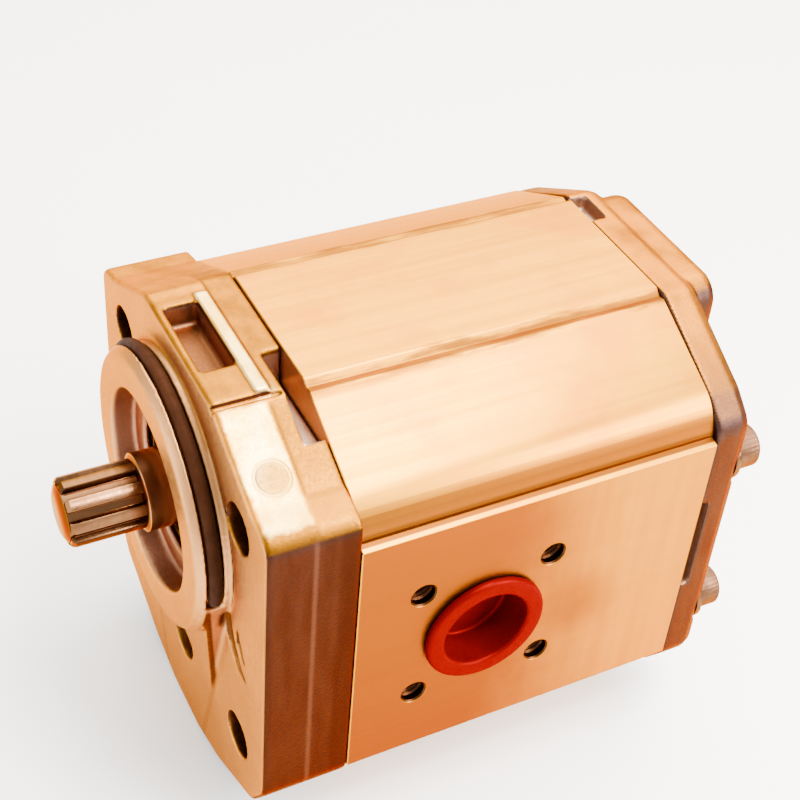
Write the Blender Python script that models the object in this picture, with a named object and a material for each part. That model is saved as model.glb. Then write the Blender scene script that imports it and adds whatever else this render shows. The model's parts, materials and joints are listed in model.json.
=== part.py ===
"""Hydraulic gear pump: three castings round a pair of meshing gear shafts.

Shapes are drawn in pump coordinates, in millimetres: X to the suction side, Y into the pump
from the mounting face, Z up from the drive axis.  at() turns them into metres in the world,
where the pump stands on its lower crown with its length centred on the origin.
"""
import math

import bpy
import bmesh
from mathutils import Vector

# ---- driving dimensions, millimetres ----
SIDE_X = 61.2            # flat sides and port faces
TOP_Z = 46.8             # upper crown
BOTTOM_Z = -94.5         # lower crown, which the pump stands on
CROWN_X = 23.5           # half width of the crowns
PORT_FLAT_TOP = 19.8     # upper edge of the port face
CENTRE_GAP = 44.8        # between the gear axes
COVER_T = 25.4           # front cover
BODY_Y = (25.7, 131.3)   # centre body
REAR_Y = (131.6, 143.5)  # rear cover plate
REAR_CROWN_Y = 151.0     # thick middle of the rear cover
SHAFT_TIP_Y = -33.7
LENGTH_END_Y = 151.7     # face of the bolt heads

PILOT_R = 40.0
PILOT_FRONT_Y = -9.8
PILOT_EDGE_Y = -7.4
RING_GROOVE_Y = (-6.9, -2.5)
RING_GROOVE_R = 37.2
CORD_GROOVE_SPAN = (-14.5, 194.5)
RECESS_R = 28.5
RECESS_Y = -2.5
WEB_LOW_R = 24.0         # lower end of the cast web under the pilot
WEB_LOW_Z = -56.0
WEB_END_Z = -61.5       # where the web runs out in the mounting face
MOUNT_HOLE_R = 7.0
MOUNT_HOLE_DEPTH = 16.0
MOUNT_HOLES = [(42.6, 21.2), (-42.6, 21.2), (42.6, -60.0), (-42.6, -60.0)]
LOW_HOLE = (0.0, -64.0)
LOW_HOLE_R = 7.0

PORT_Y = 63.8
PORT_Z = -CENTRE_GAP / 2
PORT_BORE_R = 14.4
PORT_BOLT_STEP = 38.9 / 2
PORT_THREAD_R = 3.5
PORT_THREAD_DEPTH = 14.0

CHAMBER_R = 26.3
BLOCK_R = 26.0
BLOCK_T = 23.0
GEAR_Y = (49.3, 107.7)
TEETH = 12
TIP_R = 25.7
ROOT_R = 18.3
PRESSURE_ANGLE = math.radians(20)
BACKLASH = 0.5
JOURNAL_R = 11.0
BUSH_R = (11.3, 14.0)
BUSH_BORE_R = 14.3
SPLINE_TEETH = 9
SPLINE_R = (7.9, 9.8)
SPLINE_END_Y = -12.0
SPLINE_TURN = 93.0

SEAL_R = (11.3, 21.0)
SEAL_Y = (1.6, 9.6)
SEAL_POCKET_R = 21.3
CLIP_GROOVE_Y = (-0.9, 1.1)
CLIP_GROOVE_R = 23.2
SEAM_SEAL_R = 30.0       # path of the seals between the body and its covers
SEAM_GROOVE_DEPTH = 2.4
BOLTS = {"upper_right": (52.0, 6.4), "upper_left": (-52.0, 6.4),
         "lower_right": (52.0, -51.2), "lower_left": (-52.0, -51.2)}
BOLT_R = 4.0
BOLT_HOLE_R = 4.4
BOLT_SEAT_Y = 141.5
BOLT_HEAD_R = 6.5
SEAT_R = 8.9
DOWELS = {"upper": 36.5, "lower": -82.8}
DOWEL_R = 3.0

GAP = 0.3
MM = 0.001
FACE_Y = -(SHAFT_TIP_Y + LENGTH_END_Y) / 2
ROUND_STEPS = 48

# colour, roughness, metallic
FINISHES = {
    "cast_aluminium": ((0.78, 0.62, 0.42, 1.0), 0.45, 0.9),
    "extruded_aluminium": ((0.86, 0.72, 0.50, 1.0), 0.35, 0.9),
    "steel": ((0.42, 0.33, 0.27, 1.0), 0.3, 1.0),
    "bright_steel": ((0.70, 0.66, 0.60, 1.0), 0.25, 1.0),
    "bronze": ((0.65, 0.42, 0.20, 1.0), 0.4, 1.0),
    "black_rubber": ((0.02, 0.02, 0.02, 1.0), 0.7, 0.0),
    "green_rubber": ((0.05, 0.16, 0.07, 1.0), 0.6, 0.0),
    "white_plastic": ((0.85, 0.83, 0.78, 1.0), 0.5, 0.0),
    "red_plastic": ((0.75, 0.02, 0.01, 1.0), 0.35, 0.0),
}


def clear_scene():
    for old in list(bpy.data.objects):
        bpy.data.objects.remove(old, do_unlink=True)


def at(x, y, z):
    """World place, in metres, of a point in pump coordinates."""
    return Vector((x * MM, (FACE_Y + y) * MM, (z - BOTTOM_Z) * MM))


def finish(name, kind):
    """A Principled material of its own for one piece."""
    colour, roughness, metallic = FINISHES[kind]
    material = bpy.data.materials.new(name + "_" + kind)
    material.use_nodes = True
    shader = material.node_tree.nodes["Principled BSDF"]
    shader.inputs["Base Color"].default_value = colour
    shader.inputs["Roughness"].default_value = roughness
    shader.inputs["Metallic"].default_value = metallic
    return material


def build(name, bm, kind, origin=(0.0, 0.0, 0.0)):
    """Object from a bmesh in pump coordinates, with its origin at a point of the pump."""
    centre = at(*origin)
    for vert in bm.verts:
        vert.co = at(*vert.co) - centre
    bmesh.ops.recalc_face_normals(bm, faces=bm.faces)
    mesh = bpy.data.meshes.new(name)
    bm.to_mesh(mesh)
    bm.free()
    mesh.shade_smooth()
    mesh.set_sharp_from_angle(angle=math.radians(35))
    piece = bpy.data.objects.new(name, mesh)
    piece.location = centre
    bpy.context.scene.collection.objects.link(piece)
    if kind:
        piece.data.materials.append(finish(name, kind))
    return piece


# ---- outlines in the XZ plane ----
def arc(cx, cz, radius, start, end, steps):
    """Points on an arc, both ends included, angles in degrees from +X towards +Z."""
    turns = [math.radians(start + (end - start) * i / steps) for i in range(steps + 1)]
    return [(cx + radius * math.cos(t), cz + radius * math.sin(t)) for t in turns]


def circle(cx, cz, radius, steps=ROUND_STEPS):
    return arc(cx, cz, radius, 0, 360, steps)[:-1]


def rounded(corners, step_angle=12.0):
    """Closed outline through (x, z, radius) corners, each turned into an arc."""
    outline = []
    for i, (x, z, radius) in enumerate(corners):
        here = Vector((x, z))
        before = (Vector(corners[i - 1][:2]) - here).normalized()
        after = (Vector(corners[(i + 1) % len(corners)][:2]) - here).normalized()
        if radius == 0:
            outline.append((x, z))
            continue
        half = before.angle(after) / 2
        reach = radius / math.tan(half)
        centre = here + (before + after).normalized() * radius / math.sin(half)
        first, last = here + before * reach - centre, here + after * reach - centre
        sweep = first.angle_signed(last)
        steps = max(1, round(abs(math.degrees(sweep)) / step_angle))
        for k in range(steps + 1):
            turn = -sweep * k / steps
            outline.append((centre.x + first.x * math.cos(turn) - first.y * math.sin(turn),
                            centre.y + first.x * math.sin(turn) + first.y * math.cos(turn)))
    return outline


def mirrored(right_side):
    """Corners of a symmetric outline from its right side, top to bottom."""
    return right_side + [(-x, z, r) for x, z, r in reversed(right_side)]


def inset(outline, distance):
    """Outline moved inwards, for outlines whose neighbours turn gently."""
    area = sum(a[0] * b[1] - b[0] * a[1] for a, b in zip(outline, outline[1:] + outline[:1]))
    side = 1 if area > 0 else -1
    moved = []
    for i, (x, z) in enumerate(outline):
        along = Vector(outline[(i + 1) % len(outline)]) - Vector(outline[i - 1])
        along.normalize()
        moved.append((x - along.y * distance * side, z + along.x * distance * side))
    return moved


def cover_outline():
    low = BOTTOM_Z + 4.5
    return rounded(mirrored([(CROWN_X, TOP_Z, 2.0), (27.5, 45.2, 0), (50.5, 33.4, 9.0),
                             (SIDE_X, 31.0, 5.0), (SIDE_X, -65.0, 9.0), (53.0, -77.5, 8.0),
                             (27.0, low, 24.0), (10.0, BOTTOM_Z, 12.0)]))


def body_outline():
    step = 2.6
    low_flat = 2 * PORT_Z - PORT_FLAT_TOP
    upper = [(CROWN_X - 0.5, TOP_Z - 0.2, 1.2), (CROWN_X + 1.4, 44.8, 0.6), (27.0, 45.2, 0.8),
             (55.6, 30.4, 13.0), (SIDE_X - step, 22.0, 1.5), (SIDE_X - step, PORT_FLAT_TOP + 0.9, 0),
             (SIDE_X, PORT_FLAT_TOP, 0)]
    lower = [(SIDE_X, low_flat, 0), (SIDE_X - step, low_flat - 0.9, 0), (SIDE_X - step, -66.5, 2.5),
             (51.5, -78.4, 6.0), (27.0, -90.9, 0.8), (CROWN_X + 1.4, -90.7, 0.6),
             (CROWN_X - 0.5, BOTTOM_Z, 1.2)]
    return rounded(mirrored(upper + lower))


def rear_outline():
    return rounded(mirrored([(26.0, TOP_Z - 0.4, 6.0), (53.0, 31.2, 8.0),
                             (SIDE_X - 0.4, 24.0, 8.0), (SIDE_X - 0.4, -66.0, 9.0),
                             (53.0, -77.5, 8.0), (27.0, -90.0, 24.0), (10.0, BOTTOM_Z, 12.0)]))


def figure_eight(radius, steps=22):
    """Two circles about the gear axes that run into each other."""
    cusp = math.degrees(math.asin(CENTRE_GAP / 2 / radius))
    upper = arc(0, 0, radius, -cusp, 180 + cusp, steps)
    lower = arc(0, -CENTRE_GAP, radius, 180 - cusp, 360 + cusp, steps)
    return upper[:-1] + lower[:-1]


def stadium(radius, steps=16):
    """Straight-sided loop round both gear axes."""
    return arc(0, 0, radius, 0, 180, steps) + arc(0, -CENTRE_GAP, radius, 180, 360, steps)


def web_outline():
    """Lower half of the pilot running tangentially into a small circle below it."""
    lean = math.degrees(math.asin((PILOT_R - 0.2 - WEB_LOW_R) / -WEB_LOW_Z))
    top = arc(0, 0, PILOT_R - 0.2, 180 + lean, 360 - lean, 2)
    low = arc(0, WEB_LOW_Z, WEB_LOW_R, -lean, -180 + lean, 16)
    return [top[0]] + [top[-1]] + low


def toothed(teeth, root_r, tip_r, root_share, tip_share, land_steps=2):
    """Straight-flanked spline outline; the shares are of one tooth's pitch."""
    pitch = 360 / teeth
    outline = []
    for tooth in range(teeth):
        middle = tooth * pitch + SPLINE_TURN
        half_root, half_tip = pitch * root_share / 2, pitch * tip_share / 2
        outline += arc(0, 0, tip_r, middle - half_tip, middle + half_tip, land_steps)
        outline += arc(0, 0, root_r, middle + half_root, middle + pitch - half_root, land_steps)
    return outline


def gear_outline(axis_z, turn):
    """Involute teeth on a pitch circle of half the centre gap, thinned by the backlash."""
    pitch_r = CENTRE_GAP / 2
    base_r = pitch_r * math.cos(PRESSURE_ANGLE)
    involute = math.tan(PRESSURE_ANGLE) - PRESSURE_ANGLE
    half_at_pitch = math.pi / (2 * TEETH) - BACKLASH / (2 * pitch_r)

    def half_angle(radius):
        if radius <= base_r:
            return half_at_pitch + involute
        lean = math.acos(base_r / radius)
        return half_at_pitch + involute - (math.tan(lean) - lean)

    radii = [ROOT_R, base_r, 22.3, 23.5, 24.7, TIP_R]
    outline = []
    for tooth in range(TEETH):
        middle = turn + 2 * math.pi * tooth / TEETH
        flank = [(r, middle - half_angle(r)) for r in radii]
        flank += [(r, middle + half_angle(r)) for r in reversed(radii)]
        outline += [(r * math.cos(a), axis_z + r * math.sin(a)) for r, a in flank]
    return outline


# ---- solids ----
def loft_mesh(sections):
    """Closed bmesh through (outline, y) sections with equal point counts."""
    bm = bmesh.new()
    rings = [[bm.verts.new((x, y, z)) for x, z in outline] for outline, y in sections]
    for low, high in zip(rings, rings[1:]):
        for i in range(len(low)):
            j = (i + 1) % len(low)
            bm.faces.new((low[i], low[j], high[j], high[i]))
    bm.faces.new(rings[0])
    bm.faces.new(list(reversed(rings[-1])))
    return bm


def loft(name, sections, kind=None, origin=(0.0, 0.0, 0.0)):
    return build(name, loft_mesh(sections), kind, origin)


def prism(name, outline, y0, y1, kind=None, origin=(0.0, 0.0, 0.0)):
    return loft(name, [(outline, y0), (outline, y1)], kind, origin)


def hoop(name, outer, inner, y0, y1, kind=None, open_at=None):
    """Flat ring between two outlines of equal point count; open_at leaves that span out."""
    bm = bmesh.new()
    rings = [[bm.verts.new((x, y, z)) for x, z in outline]
             for outline, y in ((outer, y0), (outer, y1), (inner, y1), (inner, y0))]
    count = len(outer)
    spans = range(count) if open_at is None else range(count - 1)
    for k in range(4):
        a, b = rings[k], rings[(k + 1) % 4]
        for i in spans:
            j = (i + 1) % count
            bm.faces.new((a[i], a[j], b[j], b[i]))
    if open_at is not None:
        bm.faces.new([ring[0] for ring in rings])
        bm.faces.new([ring[-1] for ring in reversed(rings)])
    return build(name, bm, kind)


def turned(name, profile, kind=None, axis_z=0.0, steps=ROUND_STEPS, solid=False):
    """(radius, y) profile turned about a gear axis: a closed ring, or a capped solid."""
    bm = bmesh.new()
    rings = [[bm.verts.new((x, y, z)) for x, z in circle(0, axis_z, radius, steps)]
             for radius, y in profile]
    pairs = list(zip(rings, rings[1:] + rings[:1]))
    if solid:
        pairs.pop()
        bm.faces.new(rings[0])
        bm.faces.new(list(reversed(rings[-1])))
    for a, b in pairs:
        for i in range(steps):
            j = (i + 1) % steps
            bm.faces.new((a[i], a[j], b[j], b[i]))
    return build(name, bm, kind, (0.0, 0.0, axis_z))


def rod(name, x, z, radius, y0, y1, kind=None, steps=24):
    return prism(name, circle(x, z, radius, steps), y0, y1, kind)


def cross_rod(name, y, z, radius, x0, x1, steps=24):
    """Cylinder along X, for cutting the ports and their threads."""
    bm = bmesh.new()
    ends = [[bm.verts.new((x, y + u, z + v)) for u, v in circle(0, 0, radius, steps)]
            for x in (x0, x1)]
    for i in range(steps):
        j = (i + 1) % steps
        bm.faces.new((ends[0][i], ends[0][j], ends[1][j], ends[1][i]))
    bm.faces.new(ends[0])
    bm.faces.new(list(reversed(ends[1])))
    return build(name, bm, None)


def block(name, x0, x1, y0, y1, z0, z1):
    return prism(name, [(x0, z0), (x1, z0), (x1, z1), (x0, z1)], y0, y1)


def cord(name, path, y, radius, kind, closed=False, sides=8):
    """Round cord along a path in the XZ plane, either closed or with flat ends."""
    bm = bmesh.new()
    last = len(path) - 1
    rings = []
    for i, (x, z) in enumerate(path):
        before = path[i - 1] if i or closed else path[0]
        after = path[(i + 1) % len(path)] if i < last or closed else path[last]
        along = (Vector(after) - Vector(before)).normalized()
        ring = []
        for k in range(sides):
            turn = 2 * math.pi * k / sides
            out = radius * math.cos(turn)
            ring.append(bm.verts.new((x + along.y * out, y + radius * math.sin(turn),
                                      z - along.x * out)))
        rings.append(ring)
    pairs = list(zip(rings, rings[1:]))
    if closed:
        pairs.append((rings[-1], rings[0]))
    else:
        bm.faces.new(rings[0])
        bm.faces.new(list(reversed(rings[-1])))
    for a, b in pairs:
        for k in range(sides):
            m = (k + 1) % sides
            bm.faces.new((a[k], a[m], b[m], b[k]))
    return build(name, bm, kind)


def combine(piece, operation, tools):
    """Exact Boolean of a piece with a set of hidden tools."""
    group = bpy.data.collections.new(piece.name + "_" + operation.lower())
    bpy.context.scene.collection.children.link(group)
    for tool in tools:
        bpy.context.scene.collection.objects.unlink(tool)
        group.objects.link(tool)
        tool.hide_render = True
        tool.display_type = "WIRE"
    boolean = piece.modifiers.new(operation.lower(), "BOOLEAN")
    boolean.operation = operation
    boolean.operand_type = "COLLECTION"
    boolean.collection = group
    boolean.solver = "EXACT"


# ---- castings ----
def bolt_tools(tag, radius, y0, y1):
    return [rod(tag + "_" + corner, x, z, radius, y0, y1, steps=20)
            for corner, (x, z) in BOLTS.items()]


def dowel_tools(tag, y0, y1):
    return [rod(tag + "_" + end, 0, z, DOWEL_R + GAP, y0, y1, steps=20)
            for end, z in DOWELS.items()]


def seam_groove(name, y0, y1):
    return hoop(name, stadium(SEAM_SEAL_R + 1.5), stadium(SEAM_SEAL_R - 1.5), y0, y1)


def front_cover():
    outline = cover_outline()
    edge = 0.8
    cover = loft("front_cover", [(inset(outline, edge), 0), (outline, edge),
                                 (outline, COVER_T - edge), (inset(outline, edge), COVER_T)],
                 "cast_aluminium")
    pilot = turned("pilot_tool", [(PILOT_R, 2), (PILOT_R, PILOT_EDGE_Y),
                                  (PILOT_R - 1.8, PILOT_FRONT_Y)], steps=72, solid=True)
    combine(cover, "UNION", [pilot, parting_ridge(), pilot_web()])
    groove = hoop("pilot_groove_tool", arc(0, 0, PILOT_R + 5, *CORD_GROOVE_SPAN, 61),
                  arc(0, 0, RING_GROOVE_R, *CORD_GROOVE_SPAN, 61), *RING_GROOVE_Y, open_at=0)
    combine(cover, "DIFFERENCE", [groove] + front_cover_cuts())
    return cover


def pilot_web():
    """Wedge from the pilot's edge down to the mounting face, round the low hole."""
    outline = web_outline()
    top_y = PILOT_EDGE_Y + 0.25
    top_z = max(z for _, z in outline)
    fall = top_y / (top_z - WEB_END_Z)
    bm = loft_mesh([(outline, 0.0), (outline, 6.0)])
    for vert in bm.verts:
        if vert.co.y == 0.0:
            vert.co.y = top_y + fall * (vert.co.z - top_z)
    return build("web_tool", bm, None)


def parting_ridge():
    return block("ridge_tool", -19.0, 24.0, 12.6, 15.8, TOP_Z - 3, TOP_Z + 0.7)


def front_cover_cuts():
    cuts = [turned("recess_tool", [(RECESS_R + 1.5, PILOT_FRONT_Y - 2),
                                   (RECESS_R, PILOT_FRONT_Y + 0.8), (RECESS_R, RECESS_Y),
                                   (SEAL_POCKET_R, RECESS_Y), (SEAL_POCKET_R, CLIP_GROOVE_Y[0]),
                                   (CLIP_GROOVE_R, CLIP_GROOVE_Y[0]),
                                   (CLIP_GROOVE_R, CLIP_GROOVE_Y[1]),
                                   (SEAL_POCKET_R, CLIP_GROOVE_Y[1]),
                                   (SEAL_POCKET_R, SEAL_Y[1] + GAP),
                                   (JOURNAL_R + 1, SEAL_Y[1] + GAP),
                                   (JOURNAL_R + 1, COVER_T + 2)], solid=True)]
    for i, (x, z) in enumerate(MOUNT_HOLES):
        cuts.append(rod("mount_hole_tool_%d" % i, x, z, MOUNT_HOLE_R, -2, MOUNT_HOLE_DEPTH))
    cuts.append(rod("low_hole_tool", *LOW_HOLE, LOW_HOLE_R, -12, 7.0))
    cuts += top_pockets()
    cuts += bolt_tools("front_thread_tool", BOLT_HOLE_R, 8.0, COVER_T + 2)
    cuts += dowel_tools("front_dowel_tool", COVER_T - 6.5, COVER_T + 2)
    cuts.append(seam_groove("front_seam_tool", COVER_T - SEAM_GROOVE_DEPTH, COVER_T + 2))
    return cuts


def top_pockets():
    """Cored pocket in the upper crown, a slot beside it and a notch at the seam."""
    return [block("pocket_tool", -16.5, 11.5, 2.6, 12.0, TOP_Z - 7.5, TOP_Z + 5),
            block("slot_tool", 24.2, 25.8, -2, 19.0, TOP_Z - 3.0, TOP_Z + 5),
            block("ledge_tool", -32.0, 31.0, 16.2, COVER_T + 2, TOP_Z - 1.3, TOP_Z + 5),
            block("notch_tool", 9.0, 38.0, 19.6, COVER_T + 2, 34.5, TOP_Z + 5)]


def pump_body():
    outline = body_outline()
    body = loft("pump_body", [(outline, BODY_Y[0]), (outline, BODY_Y[1])], "extruded_aluminium")
    cuts = [prism("chamber_tool", figure_eight(CHAMBER_R), BODY_Y[0] - 2, BODY_Y[1] + 2)]
    cuts += bolt_tools("body_bolt_tool", BOLT_HOLE_R, BODY_Y[0] - 2, BODY_Y[1] + 2)
    cuts += dowel_tools("body_front_dowel_tool", BODY_Y[0] - 2, BODY_Y[0] + 6.5)
    cuts += dowel_tools("body_rear_dowel_tool", BODY_Y[1] - 6.5, BODY_Y[1] + 2)
    for side in (1, -1):
        cuts.append(cross_rod("port_bore_tool_%d" % side, PORT_Y, PORT_Z, PORT_BORE_R,
                              side * 10, side * (SIDE_X + 3), 40))
        for dy in (1, -1):
            for dz in (1, -1):
                cuts.append(cross_rod("port_thread_tool_%d_%d_%d" % (side, dy, dz),
                                      PORT_Y + dy * PORT_BOLT_STEP, PORT_Z + dz * PORT_BOLT_STEP,
                                      PORT_THREAD_R, side * (SIDE_X - PORT_THREAD_DEPTH),
                                      side * (SIDE_X + 3), 20))
    combine(body, "DIFFERENCE", cuts)
    return body


def rear_cover():
    outline = rear_outline()
    y0, y1 = REAR_Y
    cover = loft("rear_cover", [(inset(outline, 0.6), y0), (outline, y0 + 0.6),
                                (outline, y1 - 4.0), (inset(outline, 1.2), y1 - 1.2),
                                (inset(outline, 4.0), y1)], "cast_aluminium")
    crown = rounded(mirrored([(27.3, TOP_Z - 1.2, 8.0), (27.3, BOTTOM_Z + 4.2, 8.0)]))
    raised = loft("rear_crown_tool", [(crown, y0 + 5), (crown, REAR_CROWN_Y - 3.0),
                                      (inset(crown, 0.9), REAR_CROWN_Y - 0.9),
                                      (inset(crown, 3.0), REAR_CROWN_Y)])
    combine(cover, "UNION", [raised])
    cuts = bolt_tools("rear_bolt_tool", BOLT_HOLE_R, y0 - 2, REAR_CROWN_Y)
    cuts += [rod("rear_seat_tool_" + corner, x, z, SEAT_R, BOLT_SEAT_Y, REAR_CROWN_Y + 5, steps=32)
             for corner, (x, z) in BOLTS.items()]
    cuts += dowel_tools("rear_dowel_tool", y0 - 2, y0 + 6.5)
    cuts.append(seam_groove("rear_seam_tool", y0 - 2, y0 + SEAM_GROOVE_DEPTH))
    cuts.append(block("rear_notch_tool", -24.0, -12.0, y0 - 2, y0 + 5.3, TOP_Z - 5.0, TOP_Z + 5))
    for side in (1, -1):
        ends = sorted((side * (SIDE_X - 5), side * (SIDE_X + 3)))
        cuts.append(block("side_slot_tool_%d" % side, *ends, y0 - 2, y0 + 3.0, -36.0, -3.0))
    combine(cover, "DIFFERENCE", cuts)
    return cover


# ---- gears and bearings ----
def gear_shaft(name, axis_z, turn, profile, extras):
    shaft = turned(name, profile, "steel", axis_z, 36, solid=True)
    teeth = prism(name + "_teeth_tool", gear_outline(axis_z, turn), *GEAR_Y)
    combine(shaft, "UNION", [teeth] + extras)
    return shaft


def journal_profile(front_y, front_r):
    """Shaft from its front end to the rear journal, chamfered at both ends."""
    rear = BODY_Y[1] - GAP
    return [(front_r - 0.8, front_y), (front_r, front_y + 0.8)], \
           [(JOURNAL_R, rear - 0.8), (JOURNAL_R - 0.8, rear)]


def gears():
    front, rear = journal_profile(SHAFT_TIP_Y, SPLINE_R[0] + 0.1)
    neck = [(SPLINE_R[0] + 0.1, SPLINE_END_Y - 0.6), (JOURNAL_R, SPLINE_END_Y + 0.4)]
    spline = prism("spline_tool", toothed(SPLINE_TEETH, *SPLINE_R, 0.62, 0.46),
                   SHAFT_TIP_Y + 1.0, SPLINE_END_Y + 1.0)
    gear_shaft("drive_gear", 0.0, 0.0, front + neck + rear, [spline])
    front, rear = journal_profile(BODY_Y[0] + GAP, JOURNAL_R)
    gear_shaft("driven_gear", -CENTRE_GAP, math.pi / TEETH, front + rear, [])


def seal_path(radius):
    """Shape of a figure three round the low-pressure side of both journals."""
    upper = arc(0, 0, radius, 110, -58, 14)
    lower = arc(0, -CENTRE_GAP, radius, 58, -110, 14)
    return upper + lower


def band(path, width):
    """Two mitred offsets of an open path, for a flat strip along it."""
    outer, inner = [], []
    for i, (x, z) in enumerate(path):
        here = Vector((x, z))
        before = here - Vector(path[i - 1]) if i else Vector(path[1]) - here
        after = Vector(path[i + 1]) - here if i + 1 < len(path) else before
        along = (before.normalized() + after.normalized()).normalized()
        reach = width / 2 / along.dot(before.normalized())
        outer.append((x - along.y * reach, z + along.x * reach))
        inner.append((x + along.y * reach, z - along.x * reach))
    return outer, inner


def bearing_end(name, block_y, cover_side):
    """Bearing block with its two bushes, its pressure seal and the seal's backup strip."""
    y0, y1 = block_y, block_y + BLOCK_T
    piece = prism(name + "_bearing_block", figure_eight(BLOCK_R), y0, y1, "extruded_aluminium")
    floor, mouth = (y0 + 2.2, y0 - 2) if cover_side < 0 else (y1 - 2.2, y1 + 2)
    bores = [rod(name + "_bore_tool_%d" % i, 0, z, BUSH_BORE_R, y0 - 2, y1 + 2, steps=36)
             for i, z in enumerate((0, -CENTRE_GAP))]
    outer, inner = band(seal_path(19.1), 6.0)
    slot = hoop(name + "_slot_tool", outer, inner, min(floor, mouth), max(floor, mouth),
                open_at=0)
    combine(piece, "DIFFERENCE", bores + [slot])
    for label, z in (("drive", 0.0), ("driven", -CENTRE_GAP)):
        turned(label + "_" + name + "_bush",
               [(BUSH_R[1], y0 + GAP), (BUSH_R[1], y1 - GAP), (BUSH_R[0], y1 - GAP),
                (BUSH_R[0], y0 + GAP)], "bronze", z, 36)
    middle = floor + (-0.2 - 0.9 if cover_side < 0 else 0.2 + 0.9)
    cord(name + "_pressure_seal", seal_path(20.6)[1:-1], middle, 0.85, "green_rubber")
    outer, inner = band(seal_path(17.3)[1:-1], 1.3)
    hoop(name + "_backup_strip", outer, inner, middle - 0.8, middle + 0.8, "white_plastic",
         open_at=0)


# ---- seals, plugs and fasteners ----
def shaft_seal():
    r0, r1 = SEAL_R
    y0, y1 = SEAL_Y
    turned("shaft_seal", [(r1, y0), (r1, y1), (r0 + 3.5, y1), (r0 + 3.5, y1 - 3.0),
                          (r0 + 1.2, y1 - 2.2), (r0, y1 - 3.4), (r0 + 1.6, y0 + 1.4),
                          (r0 + 4.0, y0 + 1.2), (r0 + 5.0, y0)], "black_rubber", steps=36)


def retaining_ring():
    """Internal circlip with its gap at the bottom."""
    y0, y1 = CLIP_GROOVE_Y
    outer = arc(0, 0, CLIP_GROOVE_R - GAP, -75, 255, 40)
    inner = arc(0, 0, SEAL_POCKET_R - 2.6, -75, 255, 40)
    hoop("seal_retaining_ring", outer, inner, y0 + GAP, y1 - GAP, "steel", open_at=0)


def pilot_ring():
    """Black cord in the pilot's groove, ending on either side of the web."""
    middle = sum(RING_GROOVE_Y) / 2
    path = arc(0, 0, 39.4, -13.0, 193.0, 44)
    cord("pilot_seal_cord", path, middle, 1.85, "black_rubber", sides=10)


def seam_seals():
    path = stadium(SEAM_SEAL_R)
    cord("front_body_seal", path, COVER_T - 1.1, 1.05, "black_rubber", closed=True)
    cord("rear_body_seal", path, REAR_Y[0] + 1.1, 1.05, "black_rubber", closed=True)


def port_plug(name, side):
    """Thin-walled cap with a flange on the port face and its hollow outwards."""
    rim, wall, depth = 17.9, 1.5, 11.0
    seat = SIDE_X + GAP
    outer_r = PORT_BORE_R - GAP
    profile = [(outer_r - 0.8, seat - depth), (outer_r, seat - depth + 0.8), (outer_r, seat),
               (rim, seat), (rim, seat + 1.4), (rim - 0.8, seat + 2.2),
               (outer_r - wall + 0.6, seat + 2.2), (outer_r - wall, seat + 1.6),
               (outer_r - wall, seat - depth + wall)]
    bm = bmesh.new()
    steps = 40
    rings = [[bm.verts.new((side * x, PORT_Y + u, PORT_Z + v))
              for u, v in circle(0, 0, radius, steps)] for radius, x in profile]
    for a, b in zip(rings, rings[1:]):
        for i in range(steps):
            j = (i + 1) % steps
            bm.faces.new((a[i], a[j], b[j], b[i]))
    bm.faces.new(rings[0])
    bm.faces.new(list(reversed(rings[-1])))
    build(name, bm, "red_plastic")


def through_bolt(corner, x, z):
    """Socket-head screw from the rear cover into the front cover, on its washer."""
    head_y, head_end = BOLT_SEAT_Y + 2.2, LENGTH_END_Y
    screw = loft(corner + "_bolt",
                 [(circle(x, z, 3.2, 20), 9.6), (circle(x, z, BOLT_R, 20), 10.4),
                  (circle(x, z, BOLT_R, 20), head_y), (circle(x, z, BOLT_HEAD_R, 20), head_y),
                  (circle(x, z, BOLT_HEAD_R, 20), head_end - 0.6),
                  (circle(x, z, BOLT_HEAD_R - 0.6, 20), head_end)], "steel")
    socket = rod(corner + "_socket_tool", x, z, 3.4, head_end - 4.5, head_end + 2, steps=6)
    combine(screw, "DIFFERENCE", [socket])
    hoop(corner + "_washer", circle(x, z, 8.2, 24), circle(x, z, BOLT_R + GAP, 24),
         BOLT_SEAT_Y + GAP, BOLT_SEAT_Y + 2.2 - GAP, "bright_steel")


def fasteners():
    for corner, (x, z) in BOLTS.items():
        through_bolt(corner, x, z)
    for end, z in DOWELS.items():
        rod("front_%s_dowel" % end, 0, z, DOWEL_R, COVER_T - 6.0, BODY_Y[0] + 6.0, "bright_steel")
        rod("rear_%s_dowel" % end, 0, z, DOWEL_R, BODY_Y[1] - 6.0, REAR_Y[0] + 6.0,
            "bright_steel")


clear_scene()
front_cover()
pump_body()
rear_cover()
gears()
bearing_end("front", BODY_Y[0] + GAP, -1)
bearing_end("rear", BODY_Y[1] - GAP - BLOCK_T, 1)
shaft_seal()
retaining_ring()
pilot_ring()
seam_seals()
port_plug("suction_port_plug", 1)
port_plug("pressure_port_plug", -1)
fasteners()
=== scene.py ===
"""Looks of the hydraulic gear pump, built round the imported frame.

Shapes are drawn in pump coordinates, in millimetres: X to the suction side, Y into the pump
from the mounting face, Z up from the drive axis.  at() turns them into metres in the frame.
"""

import json
import math

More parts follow.
